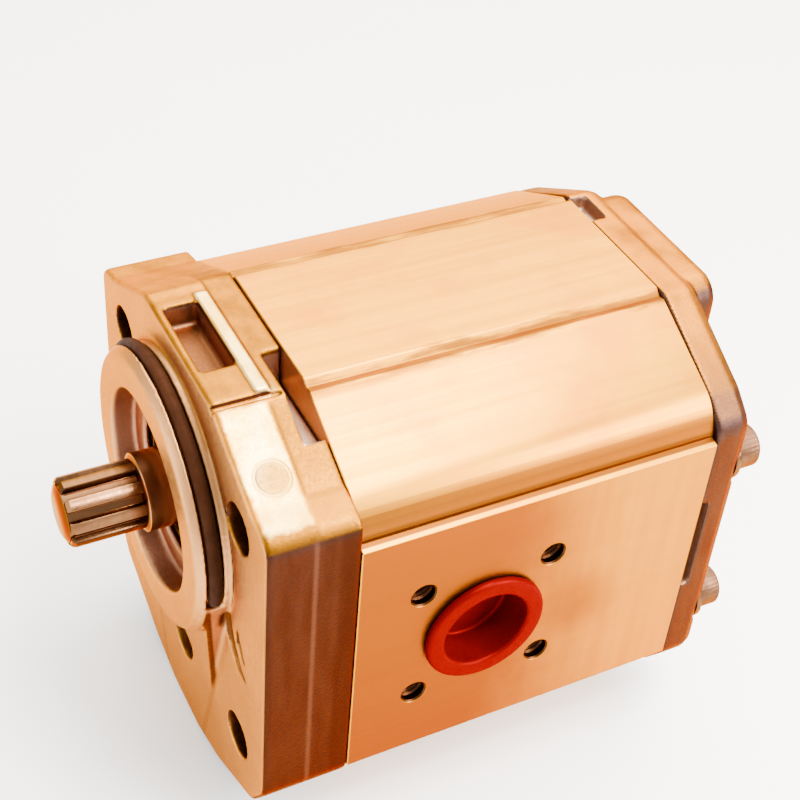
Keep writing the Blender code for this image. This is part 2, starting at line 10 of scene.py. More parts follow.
import bmesh
import bpy
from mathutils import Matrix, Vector


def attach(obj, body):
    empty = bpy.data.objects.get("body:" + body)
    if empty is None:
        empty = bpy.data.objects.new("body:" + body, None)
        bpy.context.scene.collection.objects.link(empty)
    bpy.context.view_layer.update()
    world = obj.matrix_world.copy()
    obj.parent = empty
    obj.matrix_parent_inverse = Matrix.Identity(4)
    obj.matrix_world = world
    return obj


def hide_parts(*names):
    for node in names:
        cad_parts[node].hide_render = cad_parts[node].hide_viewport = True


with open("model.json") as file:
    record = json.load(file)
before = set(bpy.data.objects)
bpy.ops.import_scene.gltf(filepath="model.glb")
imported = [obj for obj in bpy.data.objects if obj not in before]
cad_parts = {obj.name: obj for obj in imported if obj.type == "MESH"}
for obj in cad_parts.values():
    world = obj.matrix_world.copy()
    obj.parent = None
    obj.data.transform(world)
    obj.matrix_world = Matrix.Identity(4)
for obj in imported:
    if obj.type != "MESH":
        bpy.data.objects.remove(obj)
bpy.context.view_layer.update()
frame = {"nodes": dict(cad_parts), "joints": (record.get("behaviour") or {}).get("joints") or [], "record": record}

MOUNTS = {mount["name"]: mount["pos_m"] for mount in frame["record"]["mounts"]}
AXES = {joint["name"]: joint["pos_m"] for joint in frame["joints"]}
FACE_Y = MOUNTS["mounting_face"][1]
DRIVE_Z = AXES["drive_spin"][2]
MM = 0.001

# ---- driving dimensions, the same as the CAD's, in millimetres ----
SIDE_X = MOUNTS["suction_port_face"][0] / MM
BOTTOM_Z = (MOUNTS["lower_crown"][2] - DRIVE_Z) / MM
CENTRE_GAP = (DRIVE_Z - AXES["driven_spin"][2]) / MM
SHAFT_TIP_Y = (MOUNTS["shaft_end"][1] - FACE_Y) / MM
TOP_Z = 46.8
CROWN_X = 23.5
PORT_FLAT_TOP = 19.8
COVER_T = 25.4
BODY_Y = (25.7, 131.3)
SEAM = 0.25             # how much further the body reaches here than in the CAD
REAR_Y = (131.6, 143.5)
REAR_CROWN_Y = 151.0
REAR_NOTCH_X = (-24.0, -12.0)
REAR_NOTCH_DEPTH = 5.0
SIDE_SLOT_Z = (-36.0, -3.0)
BOLT_END_Y = 151.7

PILOT_R = 40.0
PILOT_FRONT_Y = -9.8
PILOT_EDGE_Y = -7.4
RING_GROOVE_Y = (-6.9, -2.5)
RING_GROOVE_R = 37.2
CORD_GROOVE_SPAN = (-14.5, 194.5)
RECESS_R = 28.5
RECESS_Y = -2.5
WEB_LOW_R = 24.0
WEB_LOW_Z = -56.0
WEB_END_Z = -61.5       # where the web runs out in the mounting face
WEB_TOP_R = PILOT_R - 0.2
WEB_LEAN = math.asin((WEB_TOP_R - WEB_LOW_R) / -WEB_LOW_Z)     # of its flanks, from upright
WEB_TOP_Z = -WEB_TOP_R * math.sin(WEB_LEAN)
WEB_FALL = (PILOT_EDGE_Y + 0.25) / (WEB_TOP_Z - WEB_END_Z)     # of its face, along Y for each Z
MOUNT_HOLE_R = 7.0
MOUNT_HOLE_DEPTH = 16.0
MOUNT_HOLES = [(42.6, 21.2), (-42.6, 21.2), (42.6, -60.0), (-42.6, -60.0)]
LOW_HOLE = (0.0, -64.0)
LOW_HOLE_R = 7.0
SEAL_POCKET_R = 21.3
SEAL_END_Y = 9.9
CLIP_GROOVE_Y = (-0.9, 1.1)
CLIP_GROOVE_R = 23.2

PORT_Y = 63.8
PORT_Z = -CENTRE_GAP / 2
PORT_BORE_R = 14.4
PORT_BOLT_STEP = 38.9 / 2
PORT_THREAD_R = 3.5
THREAD_PITCH = 1.25
CHAMBER_R = 26.3
JOURNAL_R = 11.0
GEAR_Y = (49.3, 107.7)
GEAR_TEETH = 12
TIP_R = 25.7
ROOT_R = 18.3
PRESSURE_ANGLE = math.radians(20)
BACKLASH = 0.5
SPLINE_TEETH = 9
SPLINE_R = (7.9, 9.8)
SPLINE_END_Y = -12.0
SPLINE_TURN = 93.0
SPLINE_SHARES = (0.62, 0.46)      # of the pitch, at the tooth's root and tip
BOLTS = {"upper_right": (52.0, 6.4), "upper_left": (-52.0, 6.4),
         "lower_right": (52.0, -51.2), "lower_left": (-52.0, -51.2)}
BOLT_R = 4.0
BOLT_HOLE_R = 4.4
BOLT_SEAT_Y = 141.5
BOLT_HEAD_R = 6.5
WASHER_T = 2.2          # washer and the gaps at its faces
SEAT_R = 8.9
GAP = 0.3
POCKET_X = (-16.5, 11.5)
POCKET_Y = (2.6, 12.0)
RIDGE_X = (-19.0, 24.0)
RIDGE_Y = (12.5, 15.8)
RIDGE_H = 0.7
NOTCH_X = (9.0, 38.0)
NOTCH_Y = 19.6
PAD_END_Y = 14.5        # rear end of the bright pad, and the step behind it
EJECTOR_MARK = (44.0, 8.4, 36.7)
EJECTOR_R = 4.5
MARK_CENTRE = (50.5, -17.5)
CAST_MARK = [(14.0, 163, 262, 4.6), (8.0, 172, 250, 2.6)]     # radius, start, end, width
MARK_DEPTH = 1.1

# ---- colours, linear ----
CAST = (0.60, 0.222, 0.0008)
# brown side skin of the front cover, darkened further as painted shade
SIDE_SKIN_SHADE = (0.030, 0.0125, 0.0100)
# painted shade deep in corners
DEEP_SHADE = (0.040, 0.0100, 0.0027)
# painted highlight colours on the cover's top
CAST_HIGHLIGHT = (0.82, 0.57, 0.20)
PAD_HIGHLIGHT_TAN = (0.66, 0.38, 0.060)
REAR_TOP = (0.43, 0.142, 0.0008)
# brown side skin of the rear cover, darkened further as painted shade
REAR_SIDE_SKIN_SHADE = (0.044, 0.0225, 0.0190)
REAR_FACE = (0.185, 0.082, 0.036)
REAR_CORNER = (0.19, 0.072, 0.0130)
MACHINED = (0.44, 0.205, 0.072)
# painted shade: in the pilot's recess, then in the holes of the mounting face
RECESS_SHADE = (0.26, 0.120, 0.070)
HOLE_SHADE = (0.070, 0.020, 0.0060)
# painted shade in the pocket on the cover's top: its floor, then its walls
POCKET_FLOOR_SHADE = (0.125, 0.046, 0.0170)
POCKET_WALL_SHADE = (0.30, 0.14, 0.075)
# painted shade on walls in notches, slots and at the joints
WALL_SHADE = (0.42, 0.270, 0.190)
EXTRUDED = (0.52, 0.215, 0.0004)
CROWN_LIT = (0.70, 0.300, 0.0005)
GROOVE_DIRT = (0.13, 0.042, 0.0020)
STAINED = (0.46, 0.150, 0.0003)
# painted shade on the body's sideways faces
SIDE_SHADE = (0.22, 0.062, 0.0020)
PORT_FACE = (0.165, 0.0400, 0.0006)
# painted light towards the rear of the port faces
PORT_PAINTED_LIGHT = (0.38, 0.140, 0.0008)
# painted shade in corners, recesses and along edges
SHADE_BROWN = (0.090, 0.034, 0.0130)
# painted shade in the threaded holes
THREAD_SHADE = (0.045, 0.0150, 0.0060)
STEEL = (0.115, 0.052, 0.022)
# painted light on the shaft's journal
JOURNAL_LIT = (0.30, 0.145, 0.065)
# painted shade in the grooves of steel parts
STEEL_SHADE = (0.080, 0.0290, 0.0120)
BRIGHT_STEEL = (0.13, 0.062, 0.030)
BOLT_BROWN = (0.105, 0.050, 0.028)
BRONZE = (0.28, 0.12, 0.03)
RUBBER = (0.028, 0.0090, 0.0034)
SEAL_BROWN = (0.052, 0.0170, 0.0070)
GREEN_RUBBER = (0.014, 0.06, 0.024)
WHITE_PLASTIC = (0.43, 0.40, 0.35)
RED = (0.094, 0.0002, 0.0003)
RED_DARK = (0.130, 0.0003, 0.0004)
EDGE_TINT = (1.0, 0.46, 0.05)          # of the metals' glancing reflections
RED_TINT = (1.0, 0.02, 0.01)           # of the plugs'


def at(x, y, z):
    """Place in the frame, in metres, of a point in pump coordinates."""
    return Vector((x * MM, FACE_Y + y * MM, DRIVE_Z + z * MM))


# ---- outlines in the XZ plane ----
def arc(cx, cz, radius, start, end, steps):
    """Points on an arc, both ends included, angles in degrees from +X towards +Z."""
    turns = [math.radians(start + (end - start) * i / steps) for i in range(steps + 1)]
    return [(cx + radius * math.cos(t), cz + radius * math.sin(t)) for t in turns]


def circle(cx, cz, radius, steps):
    return arc(cx, cz, radius, 0, 360, steps)[:-1]


def polar(radius, angle):
    """Point at an angle in degrees from +X towards +Z."""
    return arc(0, 0, radius, angle, angle, 1)[0]


def rounded(corners, step_angle=5.0):
    """Closed outline through (x, z, radius) corners, each turned into an arc."""
    outline = []
    for i, (x, z, radius) in enumerate(corners):
        here = Vector((x, z))
        before = (Vector(corners[i - 1][:2]) - here).normalized()
        after = (Vector(corners[(i + 1) % len(corners)][:2]) - here).normalized()
        if radius == 0:
            outline.append((x, z))
            continue
        half = before.angle(after) / 2
        reach = radius / math.tan(half)
        centre = here + (before + after).normalized() * radius / math.sin(half)
        first, last = here + before * reach - centre, here + after * reach - centre
        sweep = first.angle_signed(last)
        steps = max(1, round(abs(math.degrees(sweep)) / step_angle))
        for k in range(steps + 1):
            turn = -sweep * k / steps
            outline.append((centre.x + first.x * math.cos(turn) - first.y * math.sin(turn),
                            centre.y + first.x * math.sin(turn) + first.y * math.cos(turn)))
    return outline


def mirrored(right_side):
    """Corners of a symmetric outline from its right side, top to bottom."""
    return right_side + [(-x, z, r) for x, z, r in reversed(right_side)]


def inset(outline, distance):
    """Outline moved inwards, with mitred corners."""
    area = sum(a[0] * b[1] - b[0] * a[1] for a, b in zip(outline, outline[1:] + outline[:1]))
    side = 1 if area > 0 else -1
    moved = []
    for i, (x, z) in enumerate(outline):
        here = Vector((x, z))
        before = (here - Vector(outline[i - 1])).normalized()
        after = (Vector(outline[(i + 1) % len(outline)]) - here).normalized()
        along = (before + after).normalized()
        reach = distance * side / max(along.dot(before), 0.3)
        moved.append((x - along.y * reach, z + along.x * reach))
    return moved


def cover_outline():
    low = BOTTOM_Z + 4.5
    return rounded(mirrored([(CROWN_X, TOP_Z, 2.0), (27.5, 45.2, 0), (50.5, 33.4, 9.0),
                             (SIDE_X, 31.0, 5.0), (SIDE_X, -65.0, 9.0), (53.0, -77.5, 8.0),
                             (27.0, low, 24.0), (10.0, BOTTOM_Z, 12.0)]))


def body_outline():
    step = 2.6
    low_flat = 2 * PORT_Z - PORT_FLAT_TOP
    upper = [(CROWN_X - 0.5, TOP_Z - 0.2, 1.2), (CROWN_X + 1.4, 44.8, 0.6), (27.0, 45.2, 0.8),
             (55.6, 30.4, 13.0), (SIDE_X - step, 22.0, 1.5), (SIDE_X - step, PORT_FLAT_TOP + 0.9, 0.3),
             (SIDE_X, PORT_FLAT_TOP, 0.4)]
    lower = [(SIDE_X, low_flat, 0.4), (SIDE_X - step, low_flat - 1.1, 0.3),
             (SIDE_X - step, -66.5, 2.0), (51.5, -78.4, 6.0), (27.0, -90.9, 0.8),
             (CROWN_X + 1.4, -90.7, 0.6), (CROWN_X - 0.5, BOTTOM_Z, 1.2)]
    return rounded(mirrored(upper + lower), 8.0)


def rear_outline():
    return rounded(mirrored([(26.0, TOP_Z - 0.4, 6.0), (53.0, 31.2, 8.0),
                             (SIDE_X - 0.4, 24.0, 8.0), (SIDE_X - 0.4, -66.0, 9.0),
                             (53.0, -77.5, 8.0), (27.0, -90.0, 24.0), (10.0, BOTTOM_Z, 12.0)]))


def figure_eight(radius):
    """Two circles about the gear axes that run into each other."""
    steps = 48
    cusp = math.degrees(math.asin(CENTRE_GAP / 2 / radius))
    upper = arc(0, 0, radius, -cusp, 180 + cusp, steps)
    lower = arc(0, -CENTRE_GAP, radius, 180 - cusp, 360 + cusp, steps)
    return upper[:-1] + lower[:-1]


def web_outline():
    """Lower half of the pilot running tangentially into a small circle below it."""
    lean = math.degrees(WEB_LEAN)
    ends = [polar(WEB_TOP_R, 180 + lean), polar(WEB_TOP_R, 360 - lean)]
    return ends + arc(0, WEB_LOW_Z, WEB_LOW_R, -lean, -180 + lean, 40)


def toothed(root_r, tip_r):
    """Straight-flanked spline outline with its corners broken."""
    pitch = 360 / SPLINE_TEETH
    half_root, half_tip = (pitch * share / 2 for share in SPLINE_SHARES)
    outline = []
    for tooth in range(SPLINE_TEETH):
        middle = tooth * pitch + SPLINE_TURN
        outline += [
            polar(root_r + 0.15, middle - half_root), polar(tip_r - 0.25, middle - half_tip - 0.9)]
        outline += arc(0, 0, tip_r, middle - half_tip + 0.6, middle + half_tip - 0.6, 4)
        outline += [
            polar(tip_r - 0.25, middle + half_tip + 0.9), polar(root_r + 0.15, middle + half_root)]
        outline += arc(0, 0, root_r, middle + half_root + 2, middle + pitch - half_root - 2, 4)
    return outline


def gear_outline():
    """Involute teeth on a pitch circle of half the centre gap, thinned by the backlash."""
    pitch_r = CENTRE_GAP / 2
    base_r = pitch_r * math.cos(PRESSURE_ANGLE)
    involute = math.tan(PRESSURE_ANGLE) - PRESSURE_ANGLE
    half_at_pitch = math.pi / (2 * GEAR_TEETH) - BACKLASH / (2 * pitch_r)

    def half_angle(radius):
        if radius <= base_r:
            return half_at_pitch + involute
        lean = math.acos(base_r / radius)
        return half_at_pitch + involute - (math.tan(lean) - lean)

    radii = [ROOT_R, base_r, 21.7, 22.3, 22.9, 23.5, 24.1, 24.7, 25.2, TIP_R]
    outline = []
    for tooth in range(GEAR_TEETH):
        middle = 2 * math.pi * tooth / GEAR_TEETH
        flank = [(r, middle - half_angle(r)) for r in radii]
        flank += [(r, middle + half_angle(r)) for r in reversed(radii)]
        outline += [(r * math.cos(a), r * math.sin(a)) for r, a in flank]
    return outline


# ---- meshes ----
def make(name, bm):
    """Object from a bmesh in pump coordinates, its origin at the frame's origin."""
    for vert in bm.verts:
        vert.co = at(*vert.co)
    bmesh.ops.recalc_face_normals(bm, faces=bm.faces)
    piece = bpy.data.objects.new(name, bpy.data.meshes.new(name))
    bm.to_mesh(piece.data)
    bm.free()
    crisp(piece, 30)
    bpy.context.scene.collection.objects.link(piece)
    return piece


def crisp(piece, angle):
    """Smooth shading that stops at edges sharper than the angle."""
    piece.data.shade_smooth()
    piece.data.set_sharp_from_angle(angle=math.radians(angle))


def bridge(bm, first, second, closed=True):
    """Band of faces between two rows of vertices, which joins up with itself if it's closed."""
    for i in range(len(first) if closed else len(first) - 1):
        j = (i + 1) % len(first)
        bm.faces.new((first[i], first[j], second[j], second[i]))


def cap(bm, rings):
    bm.faces.new(rings[0])
    bm.faces.new(rings[-1][::-1])


def add_loft(bm, sections):
    """Closed shell through (outline, y) sections with equal point counts."""
    rings = [[bm.verts.new((x, y, z)) for x, z in outline] for outline, y in sections]
    for low, high in zip(rings, rings[1:]):
        bridge(bm, low, high)
    cap(bm, rings)


def loft(name, sections):
    bm = bmesh.new()
    add_loft(bm, sections)
    return make(name, bm)


def prism(name, outline, y0, y1):
    return loft(name, [(outline, y0), (outline, y1)])


def rod(name, x, z, radius, y0, y1, steps=64):
    return prism(name, circle(x, z, radius, steps), y0, y1)


def block(name, x0, x1, y0, y1, z0, z1):
    return prism(name, [(x0, z0), (x1, z0), (x1, z1), (x0, z1)], y0, y1)


def add_lathe(bm, profile, place, steps, solid):
    """Profile of (radius, distance) pairs swept round an axis; place(u, v, distance)."""
    turns = [2 * math.pi * i / steps for i in range(steps)]
    rings = [[bm.verts.new(place(radius * math.cos(t), radius * math.sin(t), distance))
              for t in turns] for radius, distance in profile]
    pairs = list(zip(rings, rings[1:] + rings[:1]))
    if solid:
        pairs.pop()
        cap(bm, rings)
    for first, second in pairs:
        bridge(bm, first, second)


def turned(name, profile, x=0.0, z=0.0, steps=128, solid=True):
    """(radius, y) profile turned about a line along Y."""
    bm = bmesh.new()
    add_lathe(bm, profile, lambda u, v, y: (x + u, y, z + v), steps, solid)
    return make(name, bm)


def side_turned(name, side, y, z, profile, steps=64):
    """Capped (radius, x) profile turned about a line along X, on either side of the pump."""
    bm = bmesh.new()
    add_lathe(bm, profile, lambda u, v, x: (side * x, y + u, z + v), steps, True)
    return make(name, bm)


def hoop(name, outer, inner, y0, y1):
    """Flat ring with a gap, between two open paths of equal point count."""
    bm = bmesh.new()
    levels = [(outer, y0), (outer, y1), (inner, y1), (inner, y0)]
    rings = [[bm.verts.new((x, y, z)) for x, z in outline] for outline, y in levels]
    for first, second in zip(rings, rings[1:] + rings[:1]):
        bridge(bm, first, second, closed=False)
    bm.faces.new([ring[0] for ring in rings])
    bm.faces.new([ring[-1] for ring in reversed(rings)])
    return make(name, bm)


def tube(name, path, y, radius):
    """Round cord along an open path in the XZ plane, with domed ends."""
    sides = 24
    dome = [0.15, 0.5, 0.8, 0.95, 1.0]
    sizes = dome + [1.0] * (len(path) - 2 * len(dome)) + dome[::-1]
    bm = bmesh.new()
    rings = []
    for i, (x, z) in enumerate(path):
        along = Vector(path[min(i + 1, len(path) - 1)]) - Vector(path[max(i - 1, 0)])
        along.normalize()
        size = radius * sizes[i]
        ring = []
        for k in range(sides):
            turn = 2 * math.pi * k / sides
            out = size * math.cos(turn)
            ring.append(
                bm.verts.new((x + along.y * out, y + size * math.sin(turn), z - along.x * out)))
        rings.append(ring)
    for first, second in zip(rings, rings[1:]):
        bridge(bm, first, second)
    cap(bm, rings)
    return make(name, bm)


def bake(piece):
    """Turns the piece's modifiers into its mesh."""
    graph = bpy.context.evaluated_depsgraph_get()
    mesh = bpy.data.meshes.new_from_object(piece.evaluated_get(graph))
    old = piece.data
    piece.modifiers.clear()
    piece.data = mesh
    bpy.data.meshes.remove(old)


def combine(piece, operation, tools):
    """Exact Boolean of a piece with tools that are then thrown away."""
    group = bpy.data.collections.new("tools")
    bpy.context.scene.collection.children.link(group)
    for tool in tools:
        bpy.context.scene.collection.objects.unlink(tool)
        group.objects.link(tool)
    boolean = piece.modifiers.new("cut", "BOOLEAN")
    boolean.operation = operation
    boolean.operand_type = "COLLECTION"
    boolean.collection = group
    boolean.solver = "EXACT"
    bake(piece)
    for tool in tools:
        bpy.data.meshes.remove(tool.data)
    bpy.data.collections.remove(group)


def soften(piece, width):
    """Chamfers the piece's sharp edges."""
    bevel = piece.modifiers.new("soft edges", "BEVEL")
    bevel.width = width * MM
    bevel.segments = 1
    bevel.limit_method = "ANGLE"
    bevel.angle_limit = math.radians(40)
    bake(piece)
    piece.data.shade_smooth()


def weather(piece):
    """Gives a casting the soft edges of its sand mould."""
    remesh = piece.modifiers.new("skin", "REMESH")
    remesh.mode = "VOXEL"
    remesh.voxel_size = 0.62 * MM
    smooth = piece.modifiers.new("soft edges", "SMOOTH")
    smooth.factor = 0.5
    smooth.iterations = 5
    thin = piece.modifiers.new("fewer faces", "DECIMATE")
    thin.ratio = 0.42
    bake(piece)
    piece.data.shade_smooth()


# ---- front cover ----
def front_cover():
    outline = cover_outline()
    edge = 0.8
    cover = loft("front_cover_casting",
                 [(inset(outline, edge), 0), (outline, edge),
                  (outline, COVER_T - edge / 4), (inset(outline, edge / 4), COVER_T)])
    pilot = turned(
        "pilot", [(PILOT_R, 2), (PILOT_R, PILOT_EDGE_Y), (PILOT_R - 1.8, PILOT_FRONT_Y)], steps=180)
    ridge = block("ridge", *RIDGE_X, *RIDGE_Y, TOP_Z - 3, TOP_Z + RIDGE_H)
    combine(cover, "UNION", [pilot, ridge, pilot_web()])
    combine(cover, "DIFFERENCE", front_cover_cuts())
    weather(cover)
    return cover


def pilot_web():
    """Wedge from the pilot's edge down to the mounting face, round the low hole."""
    outline = web_outline()
    bm = bmesh.new()
    add_loft(bm, [(outline, 0.0), (outline, 6.0)])
    for vert in bm.verts:
        if vert.co.y == 0.0:
            vert.co.y = WEB_FALL * (vert.co.z - WEB_END_Z)
    return make("web", bm)


def front_cover_cuts():
    clip0, clip1 = CLIP_GROOVE_Y
    recess = [
        (RECESS_R + 1.5, PILOT_FRONT_Y - 2), (RECESS_R, PILOT_FRONT_Y + 0.8), (RECESS_R, RECESS_Y),
        (SEAL_POCKET_R + 0.8, RECESS_Y), (SEAL_POCKET_R, RECESS_Y + 0.8), (SEAL_POCKET_R, clip0),
        (CLIP_GROOVE_R, clip0), (CLIP_GROOVE_R, clip1), (SEAL_POCKET_R, clip1),
        (SEAL_POCKET_R, SEAL_END_Y), (JOURNAL_R + 1, SEAL_END_Y), (JOURNAL_R + 1, COVER_T + 2)]
    cuts = [turned("recess", recess)]
    cuts.append(hoop("cord_groove", arc(0, 0, PILOT_R + 5, *CORD_GROOVE_SPAN, 160),
                     arc(0, 0, RING_GROOVE_R, *CORD_GROOVE_SPAN, 160), *RING_GROOVE_Y))
    for x, z in MOUNT_HOLES:
        cuts.append(rod("mount_hole", x, z, MOUNT_HOLE_R, -2, MOUNT_HOLE_DEPTH))
    cuts.append(rod("low_hole", *LOW_HOLE, LOW_HOLE_R, -12, 7.0))
    cuts += [block("pocket", *POCKET_X, *POCKET_Y, TOP_Z - 7.5, TOP_Z + 5),
             block("slot", 24.2, 25.8, -2, 19.0, TOP_Z - 2.3, TOP_Z + 5),
             block("ledge", -32.0, 31.0, 16.2, COVER_T + 2, TOP_Z - 0.6, TOP_Z + 5),
             block("notch", *NOTCH_X, NOTCH_Y, COVER_T + 2, 34.5, TOP_Z + 5),
             prism("shoulder_step", [(26.4, 45.2), (50.3, 32.95), (53.5, 38.5), (30.0, 52.0)],
                   PAD_END_Y, COVER_T + 2)]
    cuts += bolt_rods(BOLT_HOLE_R, 8.0, COVER_T + 2)
    cuts += [prism("cast_mark", crescent(*shape), -2, MARK_DEPTH) for shape in CAST_MARK]
    return cuts


def bolt_rods(radius, y0, y1, steps=64):
    return [rod("bolt_hole", x, z, radius, y0, y1, steps) for x, z in BOLTS.values()]


def crescent(radius, start, end, width):
    """Outline that is widest halfway along an arc about the cast mark's centre."""
    outer, inner, steps = [], [], 24
    for k, (x, z) in enumerate(arc(0, 0, 1.0, start, end, steps)):
        half = 0.3 + width / 2 * math.sin(math.pi * k / steps)
        for side, reach in ((outer, radius + half), (inner, radius - half)):
            side.append((MARK_CENTRE[0] + x * reach, MARK_CENTRE[1] + z * reach))
    return outer + inner[::-1]


# ---- centre body ----
def pump_body():
    outline = body_outline()
    y0, y1 = BODY_Y[0] - SEAM, BODY_Y[1] + SEAM
    body = loft("pump_body_extrusion",
                [(inset(outline, 0.25), y0), (outline, y0 + 0.25),
                 (outline, y1 - 0.25), (inset(outline, 0.25), y1)])
    cuts = [prism("chamber", figure_eight(CHAMBER_R), y0 - 2, y1 + 2)]
    cuts += bolt_rods(BOLT_HOLE_R, y0 - 2, y1 + 2, 32)
    for side in (1, -1):
        cuts.append(side_turned("port_bore", side, PORT_Y, PORT_Z,
                                [(PORT_BORE_R, 10), (PORT_BORE_R, SIDE_X - 0.8),
                                 (PORT_BORE_R + 1.6, SIDE_X + 0.8)], 128))
        cuts += [side_turned("port_thread", side, PORT_Y + dy * PORT_BOLT_STEP,
                             PORT_Z + dz * PORT_BOLT_STEP, thread_profile())
                 for dy in (1, -1) for dz in (1, -1)]
    combine(body, "DIFFERENCE", cuts)
    crisp(body, 28)
    return body


def thread_profile():
    """Blind hole with drill point, thread crests and a countersunk mouth."""
    depth, crest = 14.0, 0.45
    turns = int((depth - 3) / THREAD_PITCH)
    profile = [(0.4, SIDE_X - depth), (PORT_THREAD_R - 0.3, SIDE_X - depth + 1.6)]
    for turn in range(turns):
        start = SIDE_X - depth + 2.0 + turn * THREAD_PITCH
        profile += [(PORT_THREAD_R, start), (PORT_THREAD_R + crest, start + THREAD_PITCH / 2)]
    profile += [(PORT_THREAD_R, SIDE_X - 0.5), (PORT_THREAD_R + 1.0, SIDE_X + 0.5)]
    return profile


# ---- rear cover ----
def rear_cover():
    outline = rear_outline()
    y0, y1 = REAR_Y
    cover = loft("rear_cover_casting",
                 [(inset(outline, 0.6), y0), (outline, y0 + 0.6), (outline, y1 - 4.0),
                  (inset(outline, 1.2), y1 - 1.2), (inset(outline, 4.0), y1)])
    crown = rounded(mirrored([(27.3, TOP_Z - 1.2, 8.0), (27.3, BOTTOM_Z + 4.2, 8.0)]))
    raised = loft("rear_crown", [(crown, y0 + 5), (crown, REAR_CROWN_Y - 3.0),
                                 (inset(crown, 0.9), REAR_CROWN_Y - 0.9),
                                 (inset(crown, 3.0), REAR_CROWN_Y)])
    combine(cover, "UNION", [raised])
    cuts = bolt_rods(BOLT_HOLE_R, y0 - 2, REAR_CROWN_Y)
    cuts += bolt_rods(SEAT_R, BOLT_SEAT_Y, REAR_CROWN_Y + 5)
    cuts.append(
        block("rear_notch", *REAR_NOTCH_X, y0 - 2, y0 + 5.3, TOP_Z - REAR_NOTCH_DEPTH, TOP_Z + 5))
    for side in (1, -1):
        ends = sorted((side * (SIDE_X - 5), side * (SIDE_X + 3)))
        cuts.append(block("side_slot", *ends, y0 - 2, y0 + 3.0, *SIDE_SLOT_Z))
    combine(cover, "DIFFERENCE", cuts)
    weather(cover)
    return cover


# ---- shaft, plugs, seals and fasteners ----
def drive_shaft():
    """One-piece gear shaft with its splined end, chamfers and ground journals."""
    rear = BODY_Y[1] - GAP
    tip, root = SPLINE_R[1], SPLINE_R[0]
    core = [
        (root - 1.5, SHAFT_TIP_Y), (root + 0.1, SHAFT_TIP_Y + 0.8), (root + 0.1, SPLINE_END_Y - 0.6),
        (tip + 0.4, SPLINE_END_Y - 0.2), (JOURNAL_R, SPLINE_END_Y + 0.4), (JOURNAL_R, GEAR_Y[0] - 1.2),
        (JOURNAL_R - 0.4, GEAR_Y[0] - 1.0), (JOURNAL_R - 0.4, GEAR_Y[0] + 2.0),
        (JOURNAL_R, GEAR_Y[1] + 1.2), (JOURNAL_R, rear - 0.8), (JOURNAL_R - 0.8, rear)]
    shaft = turned("drive_shaft", core, steps=96)
    spline_front = SHAFT_TIP_Y + 1.0
    spline = loft("spline", [(toothed(root - 0.6, tip - 1.0), spline_front),
                             (toothed(root, tip), spline_front + 1.0),
                             (toothed(root, tip), SPLINE_END_Y - 1.6),
                             (toothed(root, tip), SPLINE_END_Y + 1.0)])
    edge = 0.4
    outline = gear_outline()
    teeth = loft("teeth", [(inset(outline, edge), GEAR_Y[0]), (outline, GEAR_Y[0] + edge),
                           (outline, GEAR_Y[1] - edge), (inset(outline, edge), GEAR_Y[1])])
    combine(shaft, "UNION", [spline, teeth])
    crisp(shaft, 32)
    return shaft


def quarter(radius_from, x_from, radius_to, x_to, bulge, steps=6):
    """Quarter-ellipse of (radius, x) points between two corners of a lathe profile."""
    points = []
    for k in range(steps + 1):
        turn = math.pi / 2 * k / steps
        along, across = math.sin(turn), 1 - math.cos(turn)
        if bulge:
            along, across = across, along
        points.append(
            (radius_from + (radius_to - radius_from) * along, x_from + (x_to - x_from) * across))
    return points


def port_plug(name, side):
    """Thin-walled moulded cap with a rounded flange and its hollow outwards."""
    rim, wall, depth = 17.9, 1.5, 11.0
    seat = SIDE_X + GAP
    outer_r = PORT_BORE_R - GAP
    inner_r = outer_r - wall
    profile = [(outer_r - 0.8, seat - depth), (outer_r, seat - depth + 0.8), (outer_r, seat),
               (rim - 0.3, seat), (rim, seat + 0.4)]
    profile += quarter(rim, seat + 0.9, rim - 1.2, seat + 2.2, True)
    profile += quarter(inner_r + 1.0, seat + 2.2, inner_r, seat + 1.0, False)
    profile += [(inner_r - 0.1, seat - depth + wall + 1.2)]
    profile += quarter(
        inner_r - 0.1, seat - depth + wall + 1.0, inner_r - 1.1, seat - depth + wall, True)
    return side_turned(name, side, PORT_Y, PORT_Z, profile, 128)


def through_bolt(corner, x, z):
    """Socket-head screw with a knurled head and a chamfered hexagon."""
    head_y = BOLT_SEAT_Y + WASHER_T
    steps = 80

    def ring(radius, y):
        return circle(x, z, radius, steps), y

    knurl = [(x + (BOLT_HEAD_R - 0.12 * (k % 2)) * math.cos(2 * math.pi * k / steps),
              z + (BOLT_HEAD_R - 0.12 * (k % 2)) * math.sin(2 * math.pi * k / steps))
             for k in range(steps)]
    screw = loft(corner + "_screw",
                 [ring(3.2, 9.6), ring(BOLT_R, 10.4), ring(BOLT_R, head_y),
                  ring(BOLT_HEAD_R - 0.2, head_y), (knurl, head_y + 0.4),
                  (knurl, BOLT_END_Y - 1.0), ring(BOLT_HEAD_R - 0.3, BOLT_END_Y - 0.6),
                  ring(BOLT_HEAD_R - 0.9, BOLT_END_Y)])
    socket = loft("socket", [(circle(x, z, 3.3, 6), BOLT_END_Y - 4.5),
                             (circle(x, z, 3.4, 6), BOLT_END_Y - 0.5),
                             (circle(x, z, 4.2, 6), BOLT_END_Y + 0.8)])
    combine(screw, "DIFFERENCE", [socket])
    crisp(screw, 30)
    return screw


def washer(corner, x, z):
    y0, y1 = BOLT_SEAT_Y + GAP, BOLT_SEAT_Y + WASHER_T - GAP
    outer, inner, edge = 8.2, BOLT_R + GAP, 0.25
    return turned(corner + "_flat_washer",
                  [(inner, y0), (outer - edge, y0), (outer, y0 + edge), (outer, y1 - edge),
                   (outer - edge, y1), (inner + edge, y1), (inner, y1 - edge)],
                  x, z, 64, solid=False)


def pilot_cord():
    return tube("pilot_cord", arc(0, 0, 39.4, -13.0, 193.0, 180), sum(RING_GROOVE_Y) / 2, 1.85)


